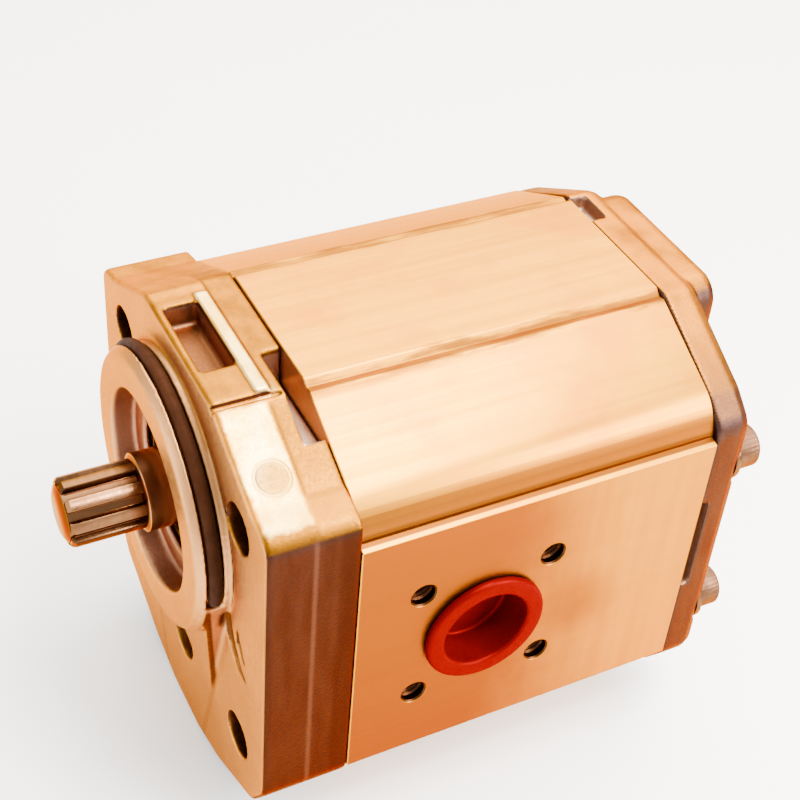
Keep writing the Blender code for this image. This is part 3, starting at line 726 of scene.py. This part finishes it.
def retaining_ring():
    """Internal circlip with a lug and a plier hole on each side of its gap."""
    y0, y1 = CLIP_GROOVE_Y[0] + GAP, CLIP_GROOVE_Y[1] - GAP
    start, end, steps = -75, 255, 120
    inner = []
    for k, (x, z) in enumerate(arc(0, 0, 1.0, start, end, steps)):
        in_lug = min(k, steps - k) <= 6
        radius = SEAL_POCKET_R - (5.2 if in_lug else 2.6)
        inner.append((x * radius, z * radius))
    ring = hoop("retaining_ring", arc(0, 0, CLIP_GROOVE_R - GAP, start, end, steps), inner, y0, y1)
    holes = [rod("plier_hole", *polar(SEAL_POCKET_R - 3.0, angle), 0.9, y0 - 1, y1 + 1, 24)
             for angle in (start + 8, end - 8)]
    combine(ring, "DIFFERENCE", holes)
    soften(ring, 0.15)
    return ring


def shaft_lip_seal():
    """Rubber-covered seal with its steel case showing as a step round the lip."""
    r0, r1, y0, y1 = 11.3, 21.0, 1.6, 9.6
    return turned("shaft_lip_seal",
                  [(r1 - 0.3, y0), (r1, y0 + 0.4), (r1, y1), (r0 + 3.5, y1), (r0 + 3.5, y1 - 3.0),
                   (r0 + 1.2, y1 - 2.2), (r0, y1 - 3.4), (r0 + 0.9, y0 + 2.6), (r0 + 0.4, y0 + 1.2),
                   (r0 + 1.0, y0 + 0.9), (r0 + 3.4, y0 + 1.7), (r0 + 4.4, y0 + 1.5),
                   (r0 + 5.0, y0 + 0.2), (r0 + 5.4, y0)], steps=160, solid=False)


# ---- materials ----
class Paint:
    """A Principled material built from small named steps, in pump millimetres."""

    def __init__(self, name, roughness, metallic):
        self.material = bpy.data.materials.new(name)
        self.material.use_nodes = True
        self.tree = self.material.node_tree
        self.shader = self.tree.nodes["Principled BSDF"]
        self.shader.inputs["Roughness"].default_value = roughness
        self.shader.inputs["Metallic"].default_value = metallic
        if metallic:
            self.put(EDGE_TINT, self.shader.inputs["Specular Tint"])
        self.place = self.node("ShaderNodeTexCoord").outputs["Object"]

    def node(self, kind, **settings):
        made = self.tree.nodes.new(kind)
        for key, value in settings.items():
            setattr(made, key, value)
        return made

    def put(self, value, socket):
        """A link if the value is a socket, and a constant if it's a number or colour."""
        if isinstance(value, bpy.types.NodeSocket):
            self.tree.links.new(value, socket)
        else:
            socket.default_value = (*value, 1.0) if isinstance(value, tuple) else value

    def noise(self, x, y=None, z=None, detail=3.0, rough=0.55):
        """Noise with so many cells per millimetre along each axis."""
        mapping = self.node("ShaderNodeMapping")
        self.put(self.place, mapping.inputs["Vector"])
        cells = (x, x if y is None else y, x if z is None else z)
        mapping.inputs["Scale"].default_value = [count / MM for count in cells]
        noise = self.node("ShaderNodeTexNoise")
        self.put(mapping.outputs["Vector"], noise.inputs["Vector"])
        for key, number in (("Scale", 1.0), ("Detail", detail), ("Roughness", rough)):
            noise.inputs[key].default_value = number
        return noise.outputs["Fac"]

    def maths(self, operation, *values):
        step = self.node("ShaderNodeMath", operation=operation)
        for socket, value in zip(step.inputs, values):
            self.put(value, socket)
        return step.outputs["Value"]

    def times(self, product, *others):
        for value in others:
            product = self.maths("MULTIPLY", product, value)
        return product

    def plus(self, first, second):
        return self.maths("ADD", first, second)

    def minus(self, first, second):
        return self.maths("SUBTRACT", first, second)

    def size(self, value):
        return self.maths("ABSOLUTE", value)

    def span(self, value, low, high, to_low=0.0, to_high=1.0):
        """Value between low and high, spread from to_low to to_high."""
        step = self.node("ShaderNodeMapRange", interpolation_type="SMOOTHSTEP")
        for key, number in (("From Min", low), ("From Max", high),
                            ("To Min", to_low), ("To Max", to_high)):
            step.inputs[key].default_value = number
        self.put(value, step.inputs["Value"])
        return step.outputs["Result"]

    def mix(self, share, first, second):
        step = self.node("ShaderNodeMix", data_type="RGBA", blend_type="MIX")
        self.put(share, step.inputs["Factor"])
        self.put(first, step.inputs["A"])
        self.put(second, step.inputs["B"])
        return step.outputs["Result"]

    def lay(self, skin, colour, *shares):
        """A colour laid over the skin, as strong as the product of the shares."""
        return self.mix(self.times(*shares), skin, colour)

    def component(self, vector, axis):
        split = self.node("ShaderNodeSeparateXYZ")
        self.put(vector, split.inputs["Vector"])
        return split.outputs[axis]

    def where(self, axis):
        """Pump coordinate of the shaded point, in millimetres."""
        start = {"X": 0.0, "Y": FACE_Y, "Z": DRIVE_Z}[axis]
        return self.times(self.minus(self.component(self.place, axis), start), 1 / MM)

    def away(self, axis, start=0.0):
        """Distance from a plane across an axis."""
        return self.size(self.minus(self.where(axis), start))

    def distance(self, *parts):
        """Length of a vector with these parts."""
        squares = 0.0
        for part in parts:
            squares = self.plus(squares, self.times(part, part))
        return self.maths("SQRT", squares)

    def radius(self, x, z):
        """Distance from a line along Y."""
        return self.distance(self.away("X", x), self.away("Z", z))

    def ramp(self, axis, nothing, full):
        """0 at one place along an axis, rising or falling away to 1 at the other."""
        return self.span(self.where(axis), nothing, full)

    def between(self, axis, low, high, blur=0.5):
        """1 where the pump coordinate lies between low and high, fading over the blur."""
        return self.times(
            self.ramp(axis, low - blur, low + blur), self.ramp(axis, high + blur, high - blur))

    def facing(self, axis):
        """Component of the surface's own direction along an axis."""
        return self.component(self.node("ShaderNodeNewGeometry").outputs["True Normal"], axis)

    def corner(self, reach):
        """0 in a corner or groove narrower than the reach, in millimetres, and 1 in the open."""
        shade = self.node("ShaderNodeAmbientOcclusion", samples=8, only_local=True)
        shade.inputs["Distance"].default_value = reach * MM
        return shade.outputs["AO"]

    def bump(self, height, depth):
        """Relief of so many millimetres."""
        bump = self.node("ShaderNodeBump")
        bump.inputs["Distance"].default_value = depth * MM
        self.put(height, bump.inputs["Height"])
        self.put(bump.outputs["Normal"], self.shader.inputs["Normal"])

    def finish(self, colour, roughness=None):
        self.put(colour, self.shader.inputs["Base Color"])
        if roughness is not None:
            self.put(roughness, self.shader.inputs["Roughness"])
        return self.material


def darker(colour, share):
    return tuple(c * share for c in colour)


def cast_material(name, front=False):
    """Cast aluminium: painted light facing up, brown skin with painted shade on its sides, shade painted in
    corners.
    """
    paint = Paint(name, 0.42, 1.0)
    up = paint.facing("Z")
    blotch = paint.span(paint.noise(0.07, detail=4.0), 0.35, 0.68)
    streaks = paint.span(paint.noise(0.25, 0.25, 0.05, detail=4.0), 0.3, 0.72)
    # Upward faces take the top colour as painted light, sides the skin colour with painted shade in it.
    top, side = (CAST, SIDE_SKIN_SHADE) if front else (REAR_TOP, REAR_SIDE_SKIN_SHADE)
    top = paint.mix(blotch, top, darker(top, 0.58))
    side = paint.mix(streaks, side, darker(side, 0.72))
    if front:
        skin = paint.mix(
            paint.span(up, 0.20, 0.62), parting_line(paint, side), bright_top(paint, top))
        skin = recessed_top(paint, web_flank(paint, front_face(paint, skin)))
    else:
        # Rear cover: tops darker towards the outer shoulders; back faces, sides and tops each take their own copy
        # of the colour, as painted light and shade by facing.
        top = paint.lay(top, REAR_CORNER, paint.span(paint.away("X"), 30.0, 58.0))
        back = paint.mix(blotch, REAR_FACE, darker(REAR_FACE, 0.74))
        side = paint.lay(side, back, paint.span(paint.facing("Y"), 0.80, 0.95))
        skin = paint.mix(paint.span(up, 0.60, 0.97), side, top)
    # Painted shade in corners and grooves, weaker on upward faces, fading out within 2 mm of the joints with the
    # body.
    colour = paint.lay(
        skin, SHADE_BROWN, paint.span(paint.corner(6.0), 0.80, 0.36), paint.span(up, 0.5, 0.95, 0.88, 0.45),
        paint.span(seam_distance(paint), 0.0, 2.0))
    height = grain = paint.noise(1.1, detail=5.0, rough=0.65)
    if front:
        # Painted shade in the notch at the joint with the body.
        colour = paint.lay(
            colour, WALL_SHADE, paint.between("X", NOTCH_X[0] - 0.5, NOTCH_X[1] + 0.5, 0.2),
            paint.between("Y", NOTCH_Y - 0.4, COVER_T + 1, 0.3), paint.ramp("Z", 45.0, 43.8))
        # Painted shade in the cast mark's arcs.
        colour = paint.lay(colour, darker(SHADE_BROWN, 0.6), mark_mask(paint), 0.9)
        ring, disc = ejector_mark(paint)
        colour = paint.lay(colour, darker(CAST, 0.34), disc, 0.8)
        colour = paint.lay(colour, darker(CAST, 0.62), ring, 0.45)
        height = paint.minus(grain, paint.times(ring, 1.5))
    else:
        # Painted shade in the rear cover's top notch and side slots.
        colour = paint.lay(colour, darker(WALL_SHADE, 0.75), rear_pockets(paint))
    paint.bump(height, 0.10)
    return paint.finish(colour, paint.span(grain, 0.3, 0.7, 0.34, 0.50))


def rear_pockets(paint):
    """1 inside the rear cover's top notch and its two side slots."""
    joint, blur, margin = REAR_Y[0], 0.2, 0.6
    floor = TOP_Z - REAR_NOTCH_DEPTH
    notch = paint.times(
        paint.between("X", REAR_NOTCH_X[0] - margin, REAR_NOTCH_X[1] + margin, blur),
        paint.between("Y", joint - 1, joint + 5.8, blur),
        paint.ramp("Z", floor - 1.0, floor - 0.6), paint.ramp("Z", TOP_Z - 0.4, TOP_Z - 1.4))
    slot = paint.times(
        paint.between("Z", SIDE_SLOT_Z[0] - margin, SIDE_SLOT_Z[1] + margin, blur),
        paint.between("Y", joint - 1, joint + 3.5, blur),
        paint.span(paint.away("X"), SIDE_X - 0.4, SIDE_X - 1.4), 0.8)
    return paint.maths("MAXIMUM", notch, slot)


def seam_distance(paint):
    """Distance along Y from the nearer joint between body and cover, negative on the body."""
    middle = (BODY_Y[0] + BODY_Y[1]) / 2
    return paint.minus(paint.away("Y", middle), middle - BODY_Y[0])


def mark_mask(paint):
    """1 in the two arcs of the cast mark."""
    x, z = MARK_CENTRE
    reach = paint.radius(x, z)
    mask = 0.0
    for radius, _, _, width in CAST_MARK:
        off = paint.size(paint.minus(reach, radius))
        mask = paint.maths("MAXIMUM", mask, paint.span(off, width / 2 + 0.3, width / 2 - 0.3))
    return paint.times(mask, paint.ramp("X", x - 0.5, x - 3.0), paint.ramp("Z", z + 4.5, z + 2.5),
                       paint.between("Y", 0.1, MARK_DEPTH + 0.5, 0.15))


def bright_top(paint, skin):
    """Painted highlights on the suction side's shoulder pad, on the ridge and at its end; darker beyond X 56."""
    ragged = paint.times(paint.minus(paint.noise(0.25, detail=2.0), 0.5), 3.5)
    along = paint.plus(paint.where("Y"), ragged)
    across = paint.plus(paint.where("X"), ragged)
    skin = paint.lay(skin, darker(CAST, 0.26), paint.span(across, 55.5, 58.5))
    pad = paint.times(
        paint.span(across, 25.5, 28.0), paint.span(across, 58.5, 55.5), paint.span(along, 0.8, 2.4),
        paint.span(along, PAD_END_Y, PAD_END_Y - 1.6), paint.ramp("Z", 25.5, 28.0))
    highlight_tone = paint.mix(paint.span(paint.noise(0.12), 0.35, 0.7), CAST_HIGHLIGHT, PAD_HIGHLIGHT_TAN)
    ridge = paint.ramp("Z", TOP_Z + 0.15, TOP_Z + 0.45)
    end_highlight = paint.times(paint.between("X", 20.8, 24.4, 0.8), paint.between("Y", 12.6, 18.0, 1.0))
    bright = paint.maths("MAXIMUM", paint.maths("MAXIMUM", pad, ridge), end_highlight)
    return paint.lay(skin, highlight_tone, bright)


def parting_line(paint, side):
    """Paler line where the mould halves met on the cover's sides, and a darker band behind it."""
    side = paint.lay(side, darker(SIDE_SKIN_SHADE, 0.45), paint.ramp("Y", 18.5, 20.5), 0.55)
    return paint.lay(side, darker(SIDE_SKIN_SHADE, 2.6), paint.between("Y", 12.4, 13.6), 0.6)


def front_face(paint, skin):
    """Milled mounting face and pilot, with painted shade in the recess inside it and in the bolt holes."""
    front = paint.span(paint.facing("Y"), -0.80, -0.95)
    marks = paint.span(paint.noise(0.9, 0.10, 0.10), 0.3, 0.7)
    face = paint.mix(marks, MACHINED, darker(MACHINED, 0.86))
    face = paint.lay(face, darker(MACHINED, 0.78), paint.span(paint.noise(0.035), 0.35, 0.7))
    skin = paint.lay(skin, face, front, paint.ramp("Y", 0.6, 0.1))
    reach = paint.radius(0.0, 0.0)
    skin = paint.lay(skin, paint.mix(front, MACHINED, face),
                     paint.span(reach, PILOT_R + 0.6, PILOT_R + 0.2), paint.ramp("Y", 0.0, -0.6))
    # Painted shade in the recess round the shaft.
    skin = paint.lay(skin, RECESS_SHADE, paint.span(reach, RECESS_R + 0.9, RECESS_R + 0.2),
                     paint.ramp("Y", PILOT_FRONT_Y + 0.3, PILOT_FRONT_Y + 1.6))
    # Painted shade on the walls of the mounting holes and the low hole.
    return paint.lay(skin, HOLE_SHADE, face_holes(paint))


def face_holes(paint):
    """1 on the walls of the four mounting holes and the low hole, all equally wide."""
    across = paint.away("X")
    nearest = 100.0
    for x, z in (MOUNT_HOLES[0], MOUNT_HOLES[2], LOW_HOLE):
        off = paint.distance(paint.minus(across, x), paint.away("Z", z))
        nearest = paint.maths("MINIMUM", off, nearest)
    return paint.times(
        paint.span(nearest, MOUNT_HOLE_R + 0.5, MOUNT_HOLE_R + 0.1), paint.ramp("Y", -0.1, 0.9))


def web_flank(paint, skin):
    """Milled flanks of the pilot's web, with painted shade along their upper edge."""
    across = paint.times(paint.away("X"), math.cos(WEB_LEAN))
    down = paint.times(paint.where("Z"), -math.sin(WEB_LEAN))
    off = paint.size(paint.minus(paint.plus(across, down), PILOT_R + 0.3))
    edge_y = paint.times(paint.minus(paint.where("Z"), WEB_END_Z), WEB_FALL)
    edge_shade = paint.span(paint.minus(paint.where("Y"), edge_y), 1.9, 1.0)
    return paint.lay(
        skin, paint.mix(edge_shade, MACHINED, darker(SHADE_BROWN, 0.6)), paint.span(off, 1.5, 0.9),
        paint.ramp("Z", -9, -12), paint.between("Y", PILOT_EDGE_Y + 0.3, -0.1, 0.3))


def recessed_top(paint, skin):
    """Brown as-cast strips round the ridge, and painted shade behind the pad and on the pocket's floor and walls.
    """
    up = paint.span(paint.facing("Z"), 0.3, 0.7)
    rough = paint.span(paint.noise(0.16, detail=4.0), 0.3, 0.7)
    skin = paint.lay(skin, paint.mix(rough, darker(CAST, 0.46), darker(CAST, 0.24)), 0.85,
                     paint.between("X", -34.0, 26.0, 1.5),
                     paint.between("Y", 16.0, COVER_T + 1, 0.3), paint.ramp("Z", 25.0, 30.0))
    # Painted shade on the upward faces behind the pad, darkest inboard of X 42.
    behind_pad_shade = paint.mix(paint.ramp("X", 42.0, 56.0), darker(CAST, 0.22), darker(CAST, 0.46))
    skin = paint.lay(skin, behind_pad_shade, 0.85, up, paint.ramp("X", 25.0, 28.0),
                     paint.ramp("Y", PAD_END_Y - 1.0, PAD_END_Y + 0.6))
    skin = paint.lay(skin, paint.mix(rough, darker(CAST, 0.44), darker(CAST, 0.26)), 0.8, up,
                     paint.between("X", -20.0, 24.6, 1.5), paint.between("Y", -1.0, 12.4, 0.4),
                     paint.ramp("Z", TOP_Z + 0.3, TOP_Z + 0.1))
    # Painted shade in the pocket, darker on its floor than on its walls.
    pocket = paint.mix(paint.span(paint.facing("Z"), 0.5, 0.9), POCKET_WALL_SHADE, POCKET_FLOOR_SHADE)
    return paint.lay(skin, pocket, paint.between("X", -17.2, 12.2, 0.3),
                     paint.between("Y", 2.0, 12.6, 0.3), paint.ramp("Z", TOP_Z - 0.6, TOP_Z - 1.6))


def ejector_mark(paint):
    """Faint ring, and the disc in it, that a mould pin left on the shoulder."""
    reach = paint.distance(*(paint.away(axis, start) for axis, start in zip("XYZ", EJECTOR_MARK)))
    off = paint.size(paint.minus(reach, EJECTOR_R))
    return paint.span(off, 0.9, 0.1), paint.span(reach, EJECTOR_R + 0.2, EJECTOR_R - 1.2)


def body_material():
    """Extruded aluminium with die lines along its length and machined port faces."""
    paint = Paint("extruded_aluminium", 0.34, 1.0)
    lines = paint.noise(0.45, 0.006, 0.45, detail=4.0, rough=0.6)
    stains = paint.span(paint.noise(0.045, 0.035, 0.045, detail=5.0, rough=0.6), 0.42, 0.70)
    skin = paint.mix(paint.span(lines, 0.35, 0.7), EXTRUDED, darker(EXTRUDED, 0.88))
    skin = paint.lay(skin, STAINED, stains)
    skin = paint.lay(skin, CROWN_LIT, paint.ramp("X", -22.5, -25.0))
    side, sideways = paint.away("X"), paint.size(paint.facing("X"))
    # Painted shade on faces that look sideways, and a darker band along the port step's ledge.
    skin = paint.lay(skin, SIDE_SHADE, paint.span(sideways, 0.74, 0.96))
    skin = paint.lay(skin, darker(SIDE_SHADE, 0.45), paint.span(side, SIDE_X - 3.1, SIDE_X - 2.7),
                     paint.span(side, SIDE_X - 1.1, SIDE_X - 1.5))
    skin = paint.lay(skin, GROOVE_DIRT, dirty_grooves(paint))
    skin = paint.lay(skin, port_face(paint), paint.span(sideways, 0.9, 0.985),
                     paint.span(side, SIDE_X - 0.9, SIDE_X - 0.3))
    # Painted shade on the body's end faces.
    skin = paint.lay(skin, WALL_SHADE, paint.span(paint.size(paint.facing("Y")), 0.8, 0.95))
    # Painted shade in the threaded holes of the port faces.
    skin = paint.lay(skin, THREAD_SHADE, port_holes(paint))
    # Painted shade in the body's corners and grooves.
    skin = paint.mix(paint.span(paint.corner(2.5), 0.30, 0.75), darker(DEEP_SHADE, 1.6), skin)
    paint.bump(lines, 0.03)
    return paint.finish(skin, paint.span(lines, 0.3, 0.7, 0.30, 0.40))


def port_face(paint):
    """Fly-cut face, orange round the port, paler towards the rear as painted light, with a darker soft patch."""
    milled = paint.span(paint.noise(0.3, 0.3, 0.02), 0.3, 0.75)
    drift = paint.times(paint.minus(paint.noise(0.03, detail=4.0), 0.5), 46.0)
    rearwards = paint.span(paint.plus(paint.where("Y"), drift), 62.0, 112.0)
    # Painted light: paler towards the rear.
    plate = paint.mix(rearwards, PORT_FACE, PORT_PAINTED_LIGHT)
    plate = paint.lay(plate, PORT_FACE, milled, 0.2)
    reach = paint.distance(paint.away("Y", PORT_Y + 28.0), paint.away("Z", PORT_Z - 4.0))
    return paint.lay(plate, darker(PORT_FACE, 0.85), paint.span(reach, 19.0, 3.0), 0.6)


def port_holes(paint):
    """1 on the walls of the threaded holes in the port faces, where their shade is painted."""
    off = paint.distance(paint.minus(paint.away("Y", PORT_Y), PORT_BOLT_STEP),
                         paint.minus(paint.away("Z", PORT_Z), PORT_BOLT_STEP))
    return paint.times(paint.span(off, PORT_THREAD_R + 1.3, PORT_THREAD_R + 0.7),
                       paint.span(paint.away("X"), SIDE_X + 0.02, SIDE_X - 0.12))


def dirty_grooves(paint):
    """Uneven dirt along the two die grooves beside the crown."""
    off = paint.size(paint.minus(paint.away("X"), CROWN_X + 2.2))
    broken = paint.noise(0.3, 0.05, 0.3, detail=4.0)
    width = paint.span(broken, 0.35, 0.7, 1.8, 4.8)
    return paint.times(paint.span(paint.maths("DIVIDE", off, width), 1.0, 0.35),
                       paint.span(broken, 0.25, 0.6, 0.55, 0.95))


def steel_material(name, light, dark, roughness, journal=None):
    """Turned metal with painted shade in its grooves; the journal colour, painted light, is for the bare shaft."""
    paint = Paint(name, roughness, 1.0)
    marks = paint.noise(0.10, 0.8, 0.10, detail=2.0)
    blotch = paint.span(paint.noise(0.22, 0.09, 0.22), 0.35, 0.7)
    tone = paint.mix(paint.span(marks, 0.35, 0.7), light, darker(light, 0.90))
    tone = paint.mix(blotch, tone, darker(light, 0.66))
    # Painted shade in grooves and corners.
    tone = paint.mix(paint.span(paint.corner(4.0), 0.20, 0.65), dark, tone)
    if journal:
        # Painted light on the journal.
        tone = paint.lay(tone, journal, paint.between("Y", SPLINE_END_Y + 0.2, 2.0, 0.3))
        tip = paint.ramp("Y", SHAFT_TIP_Y + 1.2, SHAFT_TIP_Y + 0.4)
        tone = paint.lay(tone, darker(light, 0.45), tip)
    paint.bump(marks, 0.003)
    return paint.finish(tone, paint.span(marks, 0.3, 0.7, roughness * 0.85, roughness * 1.2))


def soft_material(name, light, share, roughness, cell=0.8, depth=0.03):
    """Rubber or plastic with a moulded grain, darkened in places to a share of its colour."""
    paint = Paint(name, roughness, 0.0)
    paint.shader.inputs["Specular IOR Level"].default_value = 0.02
    grain = paint.noise(cell)
    tone = paint.mix(paint.span(grain, 0.3, 0.75), light, darker(light, share))
    paint.bump(grain, depth)
    return paint.finish(tone, paint.span(grain, 0.3, 0.7, roughness * 0.85, roughness * 1.15))


def plug_material():
    """Red moulding, with another red down inside its hollow."""
    paint = Paint("red_plastic", 0.42, 0.5)
    paint.shader.inputs["Specular IOR Level"].default_value = 0.0
    paint.put(RED_TINT, paint.shader.inputs["Specular Tint"])
    tone = paint.mix(paint.span(paint.away("X"), SIDE_X - 5.0, SIDE_X + 1.5), RED_DARK, RED)
    grain = paint.noise(0.25, detail=2.0)
    paint.bump(grain, 0.04)
    return paint.finish(tone, paint.span(grain, 0.3, 0.7, 0.36, 0.48))


def stage_material():
    paint = Paint("pale_floor", 0.9, 0.0)
    return paint.finish(paint.mix(paint.noise(0.01, detail=1.0), (0.93,) * 3, (0.96,) * 3))


def dress(piece, material):
    piece.data.materials.clear()
    piece.data.materials.append(material)


# ---- putting it together ----
def place_pieces():
    slots = {
        "cast_aluminium": cast_material("cast_aluminium"),
        "extruded_aluminium": body_material(),
        "bearing_aluminium": steel_material("bearing_aluminium", MACHINED, DEEP_SHADE, 0.35),
        "steel": steel_material("steel", STEEL, STEEL_SHADE, 0.20),
        "bright_steel": steel_material("bright_steel", BRIGHT_STEEL, STEEL, 0.3),
        "bronze": steel_material("bronze", BRONZE, STEEL_SHADE, 0.4),
        "black_rubber": soft_material("black_rubber", RUBBER, 0.75, 0.6, 0.3, 0.01),
        "green_rubber": soft_material("green_rubber", GREEN_RUBBER, 0.7, 0.55),
        "white_plastic": soft_material("white_plastic", WHITE_PLASTIC, 0.9, 0.45),
        "red_plastic": plug_material(),
    }
    front_skin = cast_material("front_cover_aluminium", front=True)
    shaft_skin = steel_material("shaft_steel", STEEL, STEEL_SHADE, 0.20, journal=JOURNAL_LIT)
    seal_skin = soft_material("seal_rubber", SEAL_BROWN, 0.7, 0.5)
    bolt_skin = steel_material("bolt_steel", BOLT_BROWN, STEEL_SHADE, 0.42)
    pieces = [("front_cover", front_cover(), "cast_aluminium", front_skin),
              ("pump_body", pump_body(), "extruded_aluminium", None),
              ("rear_cover", rear_cover(), "cast_aluminium", None),
              ("drive_gear", drive_shaft(), "steel", shaft_skin),
              ("suction_port_plug", port_plug("suction_plug", 1), "red_plastic", None),
              ("pressure_port_plug", port_plug("pressure_plug", -1), "red_plastic", None),
              ("pilot_seal_cord", pilot_cord(), "black_rubber", None),
              ("seal_retaining_ring", retaining_ring(), "steel", None),
              ("shaft_seal", shaft_lip_seal(), "black_rubber", seal_skin)]
    for corner, (x, z) in BOLTS.items():
        pieces.append((corner + "_bolt", through_bolt(corner, x, z), "steel", bolt_skin))
        pieces.append((corner + "_washer", washer(corner, x, z), "bright_steel", None))
    for node, piece, slot, skin in pieces:
        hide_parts(node)
        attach(piece, "drive_shaft" if node == "drive_gear" else "housing")
        dress(piece, skin or slots[slot])
    replaced = {node for node, *_ in pieces}
    for part in frame["record"]["subparts"]:
        if part["node"] not in replaced:
            dress(frame["nodes"][part["node"]], slots[part["material_slot"]])


def aim(thing, place, target):
    thing.location = place
    thing.rotation_mode = "QUATERNION"
    thing.rotation_quaternion = (target - place).to_track_quat("-Z", "Y")


def add_light(name, place, target, size, watts, colour):
    data = bpy.data.lights.new(name, "AREA")
    data.shape = "RECTANGLE"
    data.size, data.size_y = size
    data.energy = watts
    data.color = colour
    light = bpy.data.objects.new(name, data)
    bpy.context.scene.collection.objects.link(light)
    aim(light, place, target)


def light_the_pump():
    """A large softbox above and behind, two small ones for the glints, and two weak fills."""
    middle = at(0, 60, 0)
    warm = (1.0, 0.95, 0.88)
    add_light("overhead", at(-520, 540, 1040), middle, (1.6, 1.3), 84.0, (1.0, 0.94, 0.84))
    add_light("shoulder", at(140, 200, 600), at(42, 30, 38), (0.25, 0.22), 8.5, warm)
    add_light("glint", at(300, 130, 540), at(0, -25, 5), (0.10, 0.10), 4.5, warm)
    add_light("rear side", at(420, 480, 260), at(150, 230, BOTTOM_Z), (0.4, 0.4), 16.0, warm)
    add_light("front", at(-60, -520, 160), middle, (0.4, 0.4), 3.7, warm)
    world = bpy.data.worlds.new("studio")
    world.use_nodes = True
    background = world.node_tree.nodes["Background"]
    background.inputs["Color"].default_value = (1.0, 0.99, 0.975, 1.0)
    background.inputs["Strength"].default_value = 1.8
    bpy.context.scene.world = world


def add_floor():
    bm = bmesh.new()
    low = BOTTOM_Z - 0.05
    reach, cells = 4000.0, 8
    steps = [reach * (2 * i / cells - 1) for i in range(cells + 1)]
    rows = [[bm.verts.new((x, y, low)) for x in steps] for y in steps]
    for near, far in zip(rows, rows[1:]):
        bridge(bm, near, far, closed=False)
    floor = make("floor", bm)
    dress(floor, stage_material())


def add_camera():
    """The photograph's view: from above, in front of the suction side, slightly rolled."""
    data = bpy.data.cameras.new("camera")
    data.sensor_width = 36.0
    data.lens = 70.8
    camera = bpy.data.objects.new("camera", data)
    bpy.context.scene.collection.objects.link(camera)
    camera.location = at(297.2, -102.3, 298.2)
    camera.rotation_euler = [math.radians(turn) for turn in (49.557, -3.877, 63.667)]
    bpy.context.scene.camera = camera


place_pieces()
add_floor()
light_the_pump()
add_camera()
